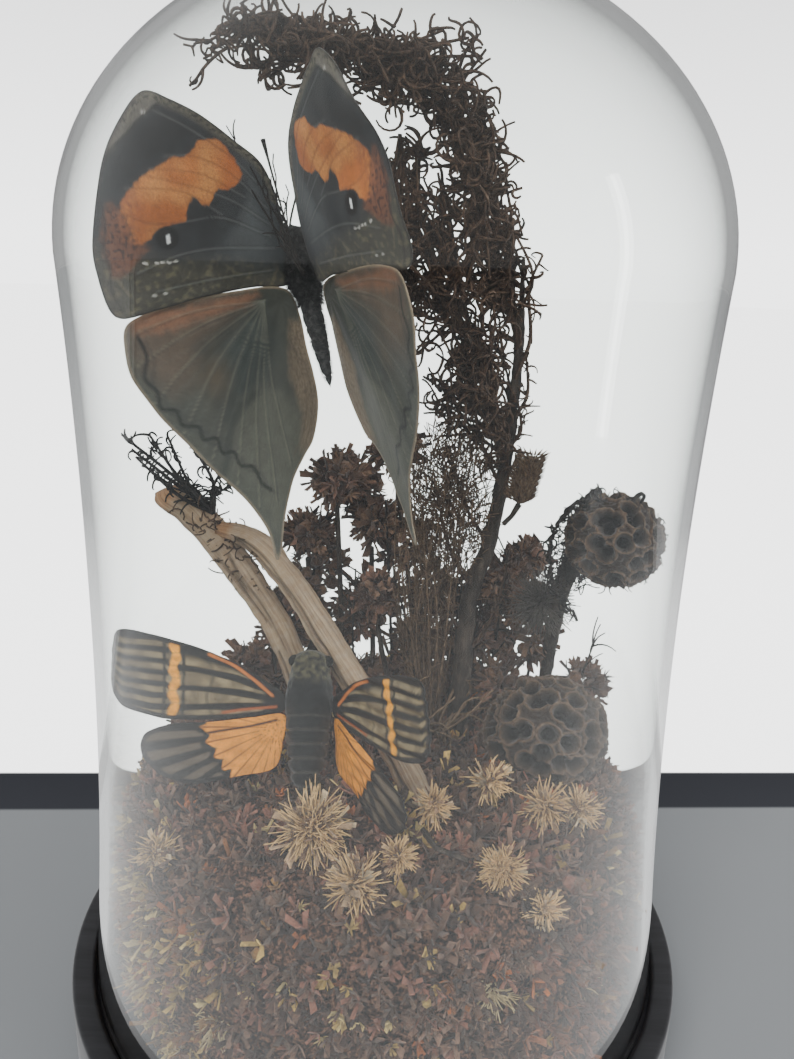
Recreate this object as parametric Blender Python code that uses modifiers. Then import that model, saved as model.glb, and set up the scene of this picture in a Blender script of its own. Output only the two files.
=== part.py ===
"""Insect in glass dome: a leaf butterfly and a cicada among dried plants, under a glass cloche.

+Z is up and -Y is the front. The origin is the centre of the underside of the base. Lengths in
this file are written in millimetres and turned into metres by MM, because the object is small.
"""

import math

import bmesh
import bpy
from mathutils import Matrix, Vector, noise

MM = 0.001

# Driving dimensions, in millimetres
GAP = 0.3                # air left between two pieces that touch
BASE_RADIUS = 85.5
BASE_HEIGHT = 18.0
GROOVE_DEPTH = 3.0
GLASS_WALL = 2.2
GLASS_FOOT_RADIUS = 79.0
GLASS_WAIST_RADIUS = 73.5
GLASS_SHOULDER_RADIUS = 75.0
GLASS_SIDE_HEIGHT = 185.0
GLASS_CAP_HEIGHT = 62.4
MOUND_RADIUS = 71.5
MOUND_TOP = 78.0
WING_THICKNESS = 0.4
STEM_PLANTED_AT = 62.0   # how far down the stems reach into the mound

GLASS_STEPS = 40
MOUND_STEPS = 28


def mm(x, y, z=0.0):
    """A point given in millimetres, in metres."""
    return Vector((x, y, z)) * MM


def clear_scene():
    for obj in list(bpy.data.objects):
        bpy.data.objects.remove(obj, do_unlink=True)


def new_collection(name):
    collection = bpy.data.collections.new(name)
    bpy.context.scene.collection.children.link(collection)
    return collection


def material(name, colour, roughness, metallic=0.0, transmission=0.0):
    made = bpy.data.materials.new(name)
    made.use_nodes = True
    shader = made.node_tree.nodes["Principled BSDF"]
    shader.inputs["Base Color"].default_value = (*colour, 1.0)
    shader.inputs["Roughness"].default_value = roughness
    shader.inputs["Metallic"].default_value = metallic
    shader.inputs["Transmission Weight"].default_value = transmission
    made.diffuse_color = (*colour, 1.0)
    return made


def add_object(name, mesh, finish):
    """Puts a mesh into the dome's collection as a piece of its own."""
    obj = bpy.data.objects.new(name, mesh)
    mesh.materials.append(finish)
    PIECES.objects.link(obj)
    return obj


def add_cutter(name, mesh):
    obj = bpy.data.objects.new(name, mesh)
    obj.hide_render = True
    obj.display_type = "WIRE"
    CUTTERS.objects.link(obj)
    return obj


def cut(obj, cutter):
    boolean = obj.modifiers.new("Cut by " + cutter.name, "BOOLEAN")
    boolean.operation = "DIFFERENCE"
    boolean.solver = "EXACT"
    boolean.object = cutter


def turned(name, profile, steps, finish):
    """A piece turned from (radius, height) points that run down its outer side, in millimetres."""
    mesh = bpy.data.meshes.new(name)
    points = [mm(radius, 0, height) for radius, height in profile]
    edges = [(i, i + 1) for i in range(len(points) - 1)]
    mesh.from_pydata(points, edges, [])
    obj = add_object(name, mesh, finish)
    screw = obj.modifiers.new("Turn", "SCREW")
    screw.steps = steps
    screw.render_steps = steps
    screw.use_merge_vertices = True
    screw.merge_threshold = 0.00001
    screw.use_smooth_shade = True
    return obj


def tube_mesh(name, points, radii, sides=8):
    """A closed tube through the points, with its own radius at each of them, in millimetres."""
    curve = bpy.data.curves.new(name, "CURVE")
    curve.dimensions = "3D"
    curve.bevel_depth = MM
    curve.bevel_resolution = (sides - 4) // 2
    curve.use_fill_caps = True
    spline = curve.splines.new("POLY")
    spline.points.add(len(points) - 1)
    for point, place, radius in zip(spline.points, points, radii):
        point.co = (*mm(*place), 1.0)
        point.radius = radius
    guide = bpy.data.objects.new(name + "_curve", curve)
    CUTTERS.objects.link(guide)
    bpy.context.view_layer.update()
    evaluated = guide.evaluated_get(bpy.context.evaluated_depsgraph_get())
    mesh = bpy.data.meshes.new_from_object(evaluated)
    mesh.name = name
    bpy.data.objects.remove(guide, do_unlink=True)
    shell = bmesh.new()
    shell.from_mesh(mesh)
    bmesh.ops.remove_doubles(shell, verts=shell.verts, dist=0.01 * MM)
    bmesh.ops.recalc_face_normals(shell, faces=shell.faces)
    shell.to_mesh(mesh)
    shell.free()
    mesh.materials.clear()
    return mesh


def stem(name, points, radii, finish, sides=8, planted=True):
    """A round stem. A planted one also cuts the hole that it stands in out of the mound."""
    obj = add_object(name, tube_mesh(name, points, radii, sides), finish)
    if planted:
        last, before = Vector(points[-1]), Vector(points[-2])
        below = last + (last - before).normalized() * GAP
        hole_points = [*points[:-1], tuple(below)]
        hole_radii = [radius + GAP * 1.5 for radius in radii]
        hole = tube_mesh(name + "_hole", hole_points, hole_radii, sides)
        cut(MOUND, add_cutter(name + "_hole", hole))
    return obj


def blob_mesh(name, centre, half_size, turn=(0, 0, 0), seed=0.0, rough=0.0, fullness=1.0):
    """A lumpy ellipsoid for a seed head, a bloom or a tangle of twigs. A fullness over 1 squares it."""
    mesh = bpy.data.meshes.new(name)
    shape = bmesh.new()
    bmesh.ops.create_icosphere(shape, subdivisions=2, radius=1.0)
    for vert in shape.verts:
        lump = 1.0 + rough * noise.noise(vert.co * 2.0 + Vector((seed, 0, 0)))
        squared = [math.copysign(abs(part) ** (1 / fullness), part) for part in vert.co]
        vert.co = Vector(squared[i] * half_size[i] * lump for i in range(3))
    rotation = Matrix.Rotation(math.radians(turn[2]), 4, "Z")
    rotation @= Matrix.Rotation(math.radians(turn[1]), 4, "Y")
    rotation @= Matrix.Rotation(math.radians(turn[0]), 4, "X")
    place = Matrix.Translation(mm(*centre)) @ rotation @ Matrix.Scale(MM, 4)
    bmesh.ops.transform(shape, matrix=place, verts=shape.verts)
    shape.to_mesh(mesh)
    shape.free()
    return mesh


def blob(name, centre, half_size, finish, settled=False, **shape):
    """A blob as a piece. A settled one is trimmed where the mound presses into it."""
    obj = add_object(name, blob_mesh(name, centre, half_size, **shape), finish)
    if settled:
        cut(obj, MOUND_CUTTER)
    return obj


def wing(name, outline, root, out, up, finish):
    """A flat wing plate. The outline is (outwards, upwards) from the root, in millimetres."""
    out = Vector(out).normalized()
    up = Vector(up)
    up = (up - out * up.dot(out)).normalized()
    curve = bpy.data.curves.new(name, "CURVE")
    curve.dimensions = "2D"
    curve.fill_mode = "BOTH"
    curve.extrude = 0.5 * WING_THICKNESS * MM
    curve.resolution_u = 2
    spline = curve.splines.new("POLY")
    spline.points.add(len(outline) - 1)
    for point, (across, along) in zip(spline.points, outline):
        point.co = (across * MM, along * MM, 0.0, 1.0)
    spline.use_cyclic_u = True
    curve.materials.append(finish)
    obj = bpy.data.objects.new(name, curve)
    PIECES.objects.link(obj)
    normal = out.cross(up)
    rotation = Matrix((out, up, normal)).transposed().to_4x4()
    obj.matrix_world = Matrix.Translation(mm(*root)) @ rotation
    return obj


def spindle(name, start, end, profile, finish, sides=12):
    """An insect's body: a turned profile of (share of the length, radius) from its head to its tail."""
    start, end = Vector(start), Vector(end)
    length = (end - start).length
    axis = (end - start).normalized()
    turned_profile = [(radius, -share * length) for share, radius in profile]
    obj = turned(name, turned_profile, sides, finish)
    turn = Vector((0, 0, -1)).rotation_difference(axis).to_matrix().to_4x4()
    obj.matrix_world = Matrix.Translation(start * MM) @ turn
    return obj


# Base and glass ------------------------------------------------------------------------------

def glass_radius(height):
    """The outer radius of the straight-looking side: a foot, a slight waist and a shoulder."""
    t = height / GLASS_SIDE_HEIGHT
    foot = GLASS_FOOT_RADIUS * (1 - t) * (1 - 2 * t)
    waist = GLASS_WAIST_RADIUS * 4 * t * (1 - t)
    shoulder = GLASS_SHOULDER_RADIUS * t * (2 * t - 1)
    return foot + waist + shoulder


def glass_wall_line(inset):
    """(radius, height) down one face of the glass, inset from the outer face."""
    line = []
    for step in range(9):
        angle = math.radians(90 - 90 * step / 9)
        radius = (GLASS_SHOULDER_RADIUS - inset) * math.cos(angle)
        rise = (GLASS_CAP_HEIGHT - inset) * math.sin(angle)
        line.append((max(radius, 0.0), BASE_HEIGHT + GLASS_SIDE_HEIGHT + rise))
    for height in (185.0, 155.0, 120.0, 85.0, 50.0, 20.0, GAP - GROOVE_DEPTH):
        line.append((glass_radius(max(height, 0.0)) - inset, BASE_HEIGHT + height))
    return line


def make_base():
    groove_outer = glass_radius(0.0) + GAP * 2
    groove_inner = glass_radius(0.0) - GLASS_WALL - GAP * 2
    top = BASE_HEIGHT
    profile = [
        (0.0, top),
        (groove_inner, top),
        (groove_inner, top - GROOVE_DEPTH),
        (groove_outer, top - GROOVE_DEPTH),
        (groove_outer, top),
        (BASE_RADIUS - 2.0, top),
        (BASE_RADIUS - 0.6, top - 0.6),
        (BASE_RADIUS, top - 2.0),
        (BASE_RADIUS, 1.0),
        (BASE_RADIUS - 1.0, 0.0),
        (0.0, 0.0),
    ]
    return turned("base", profile, 48, BLACK_WOOD)


def make_glass():
    outer = glass_wall_line(0.0)
    inner = glass_wall_line(GLASS_WALL)
    return turned("glass_dome", outer + inner[::-1], GLASS_STEPS, GLASS)


# The mound -----------------------------------------------------------------------------------

def mound_mesh(name, grow):
    """The cushion of florets: a steep side, a rounded shoulder and a low crown, a little lumpy."""
    profile = [
        (MOUND_RADIUS - 0.5, BASE_HEIGHT + GAP),
        (MOUND_RADIUS, 50.0),
        (MOUND_RADIUS - 2.0, 62.0),
        (MOUND_RADIUS - 7.5, 69.0),
        (MOUND_RADIUS - 17.5, 73.0),
        (MOUND_RADIUS - 35.5, 75.5),
        (MOUND_RADIUS - 53.5, 77.0),
    ]
    mesh = bpy.data.meshes.new(name)
    shape = bmesh.new()
    rings = []
    for row, (radius, height) in enumerate(profile):
        ring = []
        for step in range(MOUND_STEPS):
            angle = 2 * math.pi * step / MOUND_STEPS
            direction = Vector((math.cos(angle), math.sin(angle), 0))
            lump = noise.noise(direction * 2.5 + Vector((0, 0, height * 0.05)))
            wide = radius + grow - abs(lump) * 1.4
            tall = height + grow + lump * 1.6
            if row == 0:
                tall = height - grow
            ring.append(shape.verts.new(direction * wide * MM + mm(0, 0, tall)))
        rings.append(ring)
    for lower, upper in zip(rings, rings[1:]):
        for i in range(MOUND_STEPS):
            j = (i + 1) % MOUND_STEPS
            shape.faces.new((lower[i], lower[j], upper[j], upper[i]))
    shape.faces.new(rings[0][::-1])
    crown = shape.verts.new(mm(0, 0, MOUND_TOP + grow))
    for i in range(MOUND_STEPS):
        shape.faces.new((rings[-1][i], rings[-1][(i + 1) % MOUND_STEPS], crown))
    bmesh.ops.recalc_face_normals(shape, faces=shape.faces)
    shape.to_mesh(mesh)
    shape.free()
    return mesh


# Driftwood and stems -------------------------------------------------------------------------

def make_driftwood():
    main_points = [
        (-59.5, 10, 142.0), (-54, 10.5, 138.5), (-48.5, 10.5, 132.0), (-40, 8, 122.5),
        (-30, 4.5, 109.0), (-23.6, 1, 96.0), (-20, -1, 84.0), (-17, -2, STEM_PLANTED_AT),
    ]
    main = stem("driftwood_main", main_points, [4.4, 4.7, 4.6, 4.3, 4.1, 4.0, 4.0, 4.0], DRIFTWOOD, 10)
    main_copy = tube_mesh("driftwood_joint", main_points, [5.1, 5.4, 5.3, 5.0, 4.8, 4.7, 4.7, 4.7], 10)
    prong_points = [
        (-46, 8.5, 133.5), (-36, 7, 131.0), (-27, 3, 123.6), (-14, -6.5, 108.2),
        (-1.6, -15, 92.2), (9, -24, 77.7), (17, -32, 67.5), (21, -36, STEM_PLANTED_AT),
    ]
    prong = stem("driftwood_prong", prong_points, [3.6, 3.5, 3.6, 3.7, 3.7, 3.8, 3.8, 3.8], DRIFTWOOD, 10)
    cut(prong, add_cutter("driftwood_joint", main_copy))
    return main, prong


def make_woody_stem():
    points = [
        (31.6, 9, 185), (31.3, 9.5, 170), (30.6, 9.5, 155), (27.5, 9.5, 132.5),
        (23.2, 9, 115), (22, 7, 92), (21.2, 5.5, 75), (21, 5, STEM_PLANTED_AT),
    ]
    return stem("woody_stem", points, [1.2, 1.5, 1.9, 2.3, 2.7, 2.9, 3.0, 3.0], BARK)


def make_honeycomb_heads():
    blob("honeycomb_head_upper", (55.6, -12, 140.6), (12.6, 11.0, 12.0), SEED_HEAD,
         turn=(20, 25, 0), seed=3.0, rough=0.1)
    blob("honeycomb_head_lower", (45.0, -4, 82.5), (17.5, 14.5, 16.0), SEED_HEAD,
         settled=True, seed=8.0, rough=0.1)
    stem("honeycomb_stem", [(47.4, -4.0, 129.5), (46.6, 2, 122), (47.5, 10, 108), (48, 18, 92),
                            (48, 21, 76), (48, 21.5, STEM_PLANTED_AT)],
         [3.4, 2.4, 2.0, 2.0, 2.1, 2.1], BARK)
    tendril = []
    for step in range(9):
        angle = math.radians(75 + 20 * step)
        reach = 15.6 - 0.1 * step
        tendril.append((55.6 + reach * math.cos(angle), -14 - 0.3 * step, 140.6 + reach * math.sin(angle)))
    stem("wiry_tendril", tendril, [1.0] * len(tendril), BLACK_WIRE, 6, planted=False)


def make_thistle():
    blob("thistle_head", (35.3, 4.5, 150.8), (4.3, 4.3, 6.0), BROWN_BLOOM, turn=(0, 12, 0), seed=2.0, rough=0.2)
    stem("thistle_twig", [(34.0, 4.5, 144.2), (32.6, 5.2, 141.0), (30.8, 6.8, 138.2)],
         [0.9, 0.7, 0.8], BARK, 6, planted=False)


BACK_BLOOMS = [
    # x, y, z of the bloom and its radius; then x and y where its stem meets the mound
    (-14.5, 18.0, 146.0, 7.6, -11.0, 23.0),
    (-4.8, 24.0, 132.0, 7.0, -3.0, 31.0),
    (-23.2, 23.5, 128.5, 7.2, -22.0, 28.0),
    (-2.6, 16.0, 113.5, 5.7, 4.0, 16.0),
    (1.5, 24.0, 154.0, 7.0, 15.0, 26.0),
    (-38.0, 14.0, 90.5, 7.6, -40.0, 16.0),
    (38.0, 22.0, 111.5, 7.6, 36.0, 26.0),
]


def make_back_blooms():
    for number, (x, y, z, radius, foot_x, foot_y) in enumerate(BACK_BLOOMS, 1):
        blob(f"back_bloom_{number}", (x, y, z), (radius, radius * 0.95, radius * 0.85), BROWN_BLOOM,
             seed=number * 1.7, rough=0.22)
        neck = z - radius * 0.85 - 1.4
        middle = (neck + STEM_PLANTED_AT) / 2
        points = [
            (x, y, neck),
            (x * 0.8 + foot_x * 0.2, y * 0.8 + foot_y * 0.2, neck * 0.6 + middle * 0.4),
            (x * 0.3 + foot_x * 0.7, y * 0.3 + foot_y * 0.7, 83.0),
            (foot_x, foot_y, STEM_PLANTED_AT + 4),
        ]
        stem(f"back_bloom_stem_{number}", points, [0.8, 0.8, 0.9, 0.9], BARK, 6)


STRAW_BLOOMS = [
    # x, y, z and radius
    (-13.6, -46.0, 81.8, 8.2),
    (-4.0, -57.0, 75.2, 6.3),
    (27.6, -27.0, 82.0, 5.2),
    (39.8, -34.0, 80.6, 5.6),
    (49.5, -29.5, 76.8, 5.0),
    (28.0, -50.0, 75.0, 5.2),
    (37.0, -54.0, 67.5, 4.6),
    (13.0, -37.5, 82.0, 4.6),
    (-50.5, -40.0, 68.0, 5.6),
    (5.6, -50.5, 77.6, 4.0),
]


def make_straw_blooms():
    for number, (x, y, z, radius) in enumerate(STRAW_BLOOMS, 1):
        blob(f"straw_bloom_{number}", (x, y, z), (radius, radius * 0.9, radius * 0.8), STRAW,
             settled=True, seed=number * 2.3, rough=0.2)
    stem("straw_twig", [(10.6, -41.6, 78.4), (13.6, -46.5, 77.2), (20.6, -49.4, 76.4)],
         [0.7, 0.7, 0.6], BARK, 6, planted=False)


# The curly crown -----------------------------------------------------------------------------

CROWN = [
    # name, centre, half size, turn and seed of each tangle of curly twigs
    ("crown_bough_low", (17.0, 9.0, 171.5), (9.0, 6.0, 14.5), (0, 4, 0), 2.0),
    ("crown_bough_right", (20.0, 9.5, 209.5), (10.5, 6.0, 20.5), (0, -4, 0), 1.0),
    ("crown_bough_middle", (-3.0, 10.5, 203.0), (9.5, 5.6, 30.0), (0, 4, 0), 4.0),
    ("crown_bough_top", (2.0, 0.0, 245.5), (17.0, 8.5, 6.4), (0, 5, 0), 6.0),
    ("crown_bough_tip", (-31.0, -15.0, 243.8), (12.0, 8.0, 6.4), (0, -12, 20), 9.0),
]


def make_crown():
    """Each bough is the outer shape of its tangle of curly twigs."""
    for name, centre, half_size, turn, seed in CROWN:
        blob(name, centre, half_size, WIRY_TWIG, turn=turn, seed=seed, rough=0.12, fullness=1.35)
    blob("fibre_tuft", (11.0, 9.0, 120.0), (7.4, 6.2, 35.0), BROWN_FIBRE, seed=12.0, rough=0.12, fullness=1.35)
    blob("wiry_fan", (-56.6, 0.0, 152.6), (12.6, 4.4, 7.2), BLACK_WIRE, turn=(0, 22, -30), seed=15.0, rough=0.1)


# Insects -------------------------------------------------------------------------------------

FOREWING = [
    (4.4, -6.4), (4.4, 3.0), (5.0, 12.0), (9.1, 19.0), (15.9, 23.4), (24.2, 27.3), (32.0, 29.5),
    (37.9, 29.8), (43.5, 22.3), (47.2, 12.8), (49.1, 3.3), (48.8, -4.3), (45.6, -13.5), (25.3, -9.6),
]
HINDWING = [
    (4.6, -4.0), (7.0, -0.5), (20.0, -2.0), (32.0, -4.0), (40.6, -6.6), (44.0, -9.1), (44.6, -13.6),
    (43.9, -18.9), (40.9, -24.3), (38.1, -28.8), (33.1, -34.8), (27.9, -40.9), (21.2, -47.6),
    (17.5, -52.8), (14.9, -58.1), (13.6, -64.5), (12.0, -62.0), (10.7, -55.0), (7.6, -45.7),
    (4.0, -40.1), (0.6, -35.7), (-1.6, -26.1), (1.6, -14.0),
]
BUTTERFLY_BODY = [
    (0.0, 0.0), (0.03, 1.6), (0.08, 2.1), (0.12, 1.5), (0.17, 3.0), (0.28, 3.8), (0.38, 3.2),
    (0.44, 2.1), (0.58, 2.5), (0.8, 1.6), (0.94, 0.8), (1.0, 0.0),
]
CICADA_FOREWING = [
    (0.6, -3.2), (0.6, 1.0), (3.4, 3.4), (11.6, 8.4), (21.8, 12.4), (32.0, 15.2), (40.6, 16.4),
    (42.6, 9.0), (42.4, 2.6), (39.4, -2.0), (32.0, -4.6), (25.8, -5.4), (12.0, -5.0),
]
CICADA_HINDWING = [
    (0.6, -2.0), (8.0, -2.6), (18.7, -3.8), (26.4, -4.1), (32.8, -5.9), (34.7, -8.5), (34.0, -12.3),
    (29.0, -16.9), (21.3, -18.7), (11.0, -16.8), (2.4, -14.9), (0.8, -8.4),
]
CICADA_BODY = [
    (0.0, 0.0), (0.02, 2.8), (0.07, 4.7), (0.16, 5.0), (0.24, 5.6), (0.36, 5.9), (0.48, 5.5),
    (0.62, 5.2), (0.8, 4.0), (0.93, 2.3), (1.0, 0.0),
]


def make_butterfly():
    spindle("butterfly_body", (-25.2, 4.6, 211.0), (-14.6, -4.6, 174.0), BUTTERFLY_BODY, DARK_FUR, 10)
    wing("butterfly_forewing_left", FOREWING, (-24.0, 3.0, 204.0), (-0.754, -0.657, 0.0),
         (0.013, -0.017, 1.0), LEAF_WING)
    wing("butterfly_hindwing_left", HINDWING, (-22.5, 2.6, 197.0), (-0.787, -0.617, 0.0),
         (-0.128, 0.163, 0.978), LEAF_WING)
    wing("butterfly_forewing_right", FOREWING, (-21.3, 1.2, 204.0), (0.403, -0.883, 0.242),
         (-0.35, 0.096, 0.932), LEAF_WING)
    wing("butterfly_hindwing_right", HINDWING, (-18.6, 1.6, 197.0), (0.398, -0.872, 0.283),
         (-0.35, 0.141, 0.926), LEAF_WING)
    stem("butterfly_antenna_left", [(-26.6, 4.0, 212.0), (-28.4, 4.4, 218.0), (-30.4, 4.4, 225.0),
                                    (-31.6, 3.8, 229.5)], [0.3, 0.3, 0.3, 0.6], DARK_FUR, 6, planted=False)
    stem("butterfly_antenna_right", [(-25.0, 3.8, 213.0), (-23.6, 5.0, 219.0), (-22.0, 6.0, 225.0),
                                     (-21.2, 6.4, 229.5)], [0.3, 0.3, 0.3, 0.6], DARK_FUR, 6, planted=False)


def make_cicada():
    spindle("cicada_body", (-18.4, -11.5, 108.5), (-17.4, -33.0, 78.6), CICADA_BODY, DARK_SHELL, 12)
    wing("cicada_forewing_left", CICADA_FOREWING, (-24.2, -19.6, 99.0), (-0.98, -0.12, 0.03),
         (0.05, 0.3, 0.95), STRIPED_WING)
    wing("cicada_hindwing_left", CICADA_HINDWING, (-23.8, -20.4, 97.0), (-0.98, -0.1, 0.02),
         (0.02, 0.36, 0.93), STRIPED_WING)
    wing("cicada_forewing_right", CICADA_FOREWING, (-12.0, -20.2, 98.0), (0.55, -0.78, 0.18),
         (-0.16, 0.18, 0.97), STRIPED_WING)
    wing("cicada_hindwing_right", CICADA_HINDWING, (-11.3, -21.6, 97.0), (0.52, -0.83, 0.02),
         (-0.1, 0.2, 0.97), STRIPED_WING)


clear_scene()
PIECES = new_collection("insect_in_glass_dome")
CUTTERS = new_collection("cutters")

BLACK_WOOD = material("black_wood", (0.03, 0.032, 0.036), 0.45)
GLASS = material("clear_glass", (0.97, 1.0, 0.98), 0.02, transmission=1.0)
FLORETS = material("red_brown_florets", (0.13, 0.07, 0.055), 0.9)
DRIFTWOOD = material("weathered_driftwood", (0.38, 0.31, 0.25), 0.85)
BARK = material("dark_bark", (0.12, 0.085, 0.07), 0.8)
WIRY_TWIG = material("curly_twig", (0.06, 0.045, 0.038), 0.8)
BROWN_FIBRE = material("brown_fibre", (0.16, 0.11, 0.085), 0.85)
BLACK_WIRE = material("black_wiry_twig", (0.02, 0.018, 0.018), 0.7)
SEED_HEAD = material("seed_head", (0.1, 0.075, 0.06), 0.85)
BROWN_BLOOM = material("brown_bloom", (0.14, 0.1, 0.08), 0.9)
STRAW = material("straw_bloom", (0.6, 0.48, 0.32), 0.8)
LEAF_WING = material("leaf_wing", (0.12, 0.12, 0.12), 0.55)
STRIPED_WING = material("striped_wing", (0.25, 0.2, 0.14), 0.5)
DARK_FUR = material("dark_fur", (0.03, 0.028, 0.028), 0.8)
DARK_SHELL = material("dark_shell", (0.015, 0.014, 0.015), 0.45)

MOUND_CUTTER = add_cutter("mound_grown", mound_mesh("mound_grown", GAP))
MOUND = add_object("flower_mound", mound_mesh("flower_mound", 0.0), FLORETS)

make_base()
make_glass()
make_driftwood()
make_woody_stem()
make_honeycomb_heads()
make_thistle()
make_back_blooms()
make_straw_blooms()
make_crown()
make_butterfly()
make_cicada()
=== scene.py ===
# %% [markdown]
# # An insect dome, modelled in Blender
# A leaf butterfly and a striped cicada are pinned among dried flowers under a
# glass bell on a black wooden foot. Each cell below makes one piece or one
# finish. The measuring frame is loaded first: it holds the plain solids that
# every finer piece has to match in place and size.

# %% Load the frame
import math
import bpy
import numpy as np
from mathutils import Matrix, Vector, noise as mnoise


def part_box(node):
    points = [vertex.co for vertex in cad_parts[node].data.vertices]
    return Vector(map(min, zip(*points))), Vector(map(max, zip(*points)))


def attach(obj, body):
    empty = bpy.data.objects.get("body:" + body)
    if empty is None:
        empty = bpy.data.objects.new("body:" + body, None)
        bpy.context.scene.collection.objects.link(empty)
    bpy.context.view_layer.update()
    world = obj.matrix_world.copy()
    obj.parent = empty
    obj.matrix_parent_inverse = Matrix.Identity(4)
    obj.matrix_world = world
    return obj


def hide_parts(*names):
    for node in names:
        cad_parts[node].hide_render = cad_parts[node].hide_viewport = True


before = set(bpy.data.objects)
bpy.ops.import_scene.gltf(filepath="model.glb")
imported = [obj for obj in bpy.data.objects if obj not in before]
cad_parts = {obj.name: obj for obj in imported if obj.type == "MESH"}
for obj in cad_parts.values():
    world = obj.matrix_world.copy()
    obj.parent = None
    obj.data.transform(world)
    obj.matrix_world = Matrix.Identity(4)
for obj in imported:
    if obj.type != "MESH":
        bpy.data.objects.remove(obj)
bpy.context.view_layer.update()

MM = 0.001
GOLDEN_TURN = 2.39996   # radians between one seed and the next in a sunflower
THIRD_TURN = 2.0944

# %% [markdown]
# Operators work on whatever is selected, so a lesson made of operators needs
# two small habits: let go of everything before adding something, and apply a
# modifier as soon as it is set.

# %% Selection and modifier helpers
def let_go():
    if bpy.context.mode != "OBJECT":
        bpy.ops.object.mode_set(mode="OBJECT")
    bpy.ops.object.select_all(action="DESELECT")

def pick(obj):
    let_go()
    obj.select_set(True)
    bpy.context.view_layer.objects.active = obj

def named(name):
    obj = bpy.context.active_object
    obj.name = obj.data.name = name
    return obj

def settle(obj):
    pick(obj)
    bpy.ops.object.transform_apply(location=True, rotation=True, scale=True)
    return obj

def finish_with(obj, kind, **settings):
    pick(obj)
    modifier = obj.modifiers.new(kind.title(), kind)
    for key, value in settings.items():
        setattr(modifier, key, value)
    bpy.ops.object.modifier_apply(modifier=modifier.name)
    return obj

def smooth(obj):
    pick(obj)
    bpy.ops.object.shade_smooth()
    return obj

def tidy_mesh(obj, gap=1e-6):
    pick(obj)
    bpy.ops.object.mode_set(mode="EDIT")
    bpy.ops.mesh.select_all(action="SELECT")
    bpy.ops.mesh.remove_doubles(threshold=gap)
    bpy.ops.mesh.normals_make_consistent(inside=False)
    bpy.ops.object.mode_set(mode="OBJECT")
    return obj

def put_in_scene(name, data):
    obj = bpy.data.objects.new(name, data)
    bpy.context.scene.collection.objects.link(obj)
    return obj

def mesh_of(name, points, edges, faces):
    # A mesh object from points in millimetres.
    mesh = bpy.data.meshes.new(name)
    mesh.from_pydata((np.asarray(points, float) * MM).tolist(), edges, faces)
    return put_in_scene(name, mesh)

def points_of(obj):
    flat = np.empty(len(obj.data.vertices) * 3)
    obj.data.vertices.foreach_get("co", flat)
    return flat.reshape(-1, 3)

def move_points(obj, points):
    obj.data.vertices.foreach_set("co", np.asarray(points, float).ravel())
    obj.data.update()

def hand_in(obj, slot, *nodes):
    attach(obj, "root")
    if nodes:
        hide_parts(*nodes)
    tris = sum(len(p.vertices) - 2 for p in obj.data.polygons)
    print(f"{obj.name}: {tris} triangles")
    return obj

# %% [markdown]
# Curves through a few chosen points shape almost everything here: stems,
# wings and profiles. Catmull-Rom passes through each point, which makes the
# points easy to think about.

# %% Smooth curves through points
def through(points, steps=10, closed=False):
    p = np.array(points, float)
    if closed:
        p = np.vstack([p[-1], p, p[0], p[1]])
    else:
        p = np.vstack([2 * p[0] - p[1], p, 2 * p[-1] - p[-2]])
    t = np.linspace(0, 1, steps, endpoint=False)[:, None]
    out = []
    for a, b, c, d in zip(p, p[1:], p[2:], p[3:]):
        out.append(0.5 * (2 * b + (c - a) * t + (2 * a - 5 * b + 4 * c - d) * t**2
                          + (3 * b - a - 3 * c + d) * t**3))
    return np.vstack(out + [p[-2:-1]] if not closed else out)

def unit(v):
    v = np.asarray(v, float)
    return v / np.linalg.norm(v)

def wobble(points, size, seed=0.0):
    # Smooth noise in -1..1 at each point, for a feature of this size in mm.
    return np.array([mnoise.noise(Vector(q) / size + Vector((seed, seed, 3.1 * seed)))
                     for q in np.asarray(points)])

rng = np.random.default_rng(41)

# %% [markdown]
# Colours are typed as the 0 to 255 values a maker reads off a swatch, and the
# shader wants them linear.

# %% Colour helpers
def swatch(r, g, b):
    c = np.array([r, g, b], float) / 255
    return tuple(np.where(c <= 0.04045, c / 12.92, ((c + 0.055) / 1.055) ** 2.4)) + (1.0,)

def finish(name, roughness=0.6, **sockets):
    mat = bpy.data.materials.new(name)
    mat.use_nodes = True
    sockets["Roughness"] = roughness
    for key, value in sockets.items():
        shader_of(mat).inputs[key.replace("_", " ")].default_value = value
    return mat

def node(mat, kind, **settings):
    made = mat.node_tree.nodes.new(kind)
    for key, value in settings.items():
        if hasattr(made, key):
            setattr(made, key, value)
        else:
            made.inputs[key.replace("_", " ")].default_value = value
    return made

def wire(mat, source, target):
    mat.node_tree.links.new(source, target)

def place(mat, scale=(1, 1, 1), space="Object"):
    coords = node(mat, "ShaderNodeTexCoord")
    mapping = node(mat, "ShaderNodeMapping")
    mapping.inputs["Scale"].default_value = scale
    wire(mat, coords.outputs[space], mapping.inputs["Vector"])
    return mapping.outputs["Vector"]

def feed(mat, value, socket):
    # A wire if the value comes from a node, or else a constant.
    if isinstance(value, bpy.types.NodeSocket):
        wire(mat, value, socket)
    else:
        socket.default_value = value

def calc(mat, operation, first, second):
    made = node(mat, "ShaderNodeMath", operation=operation)
    feed(mat, first, made.inputs[0])
    feed(mat, second, made.inputs[1])
    return made.outputs[0]

def remap(mat, value, start, end, low=0.0, high=1.0):
    made = node(mat, "ShaderNodeMapRange")
    sockets = ("From Min", "From Max", "To Min", "To Max")
    for socket, number in zip(sockets, (start, end, low, high)):
        made.inputs[socket].default_value = number
    wire(mat, value, made.inputs["Value"])
    return made.outputs["Result"]

def shader_of(mat):
    return mat.node_tree.nodes["Principled BSDF"]

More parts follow.
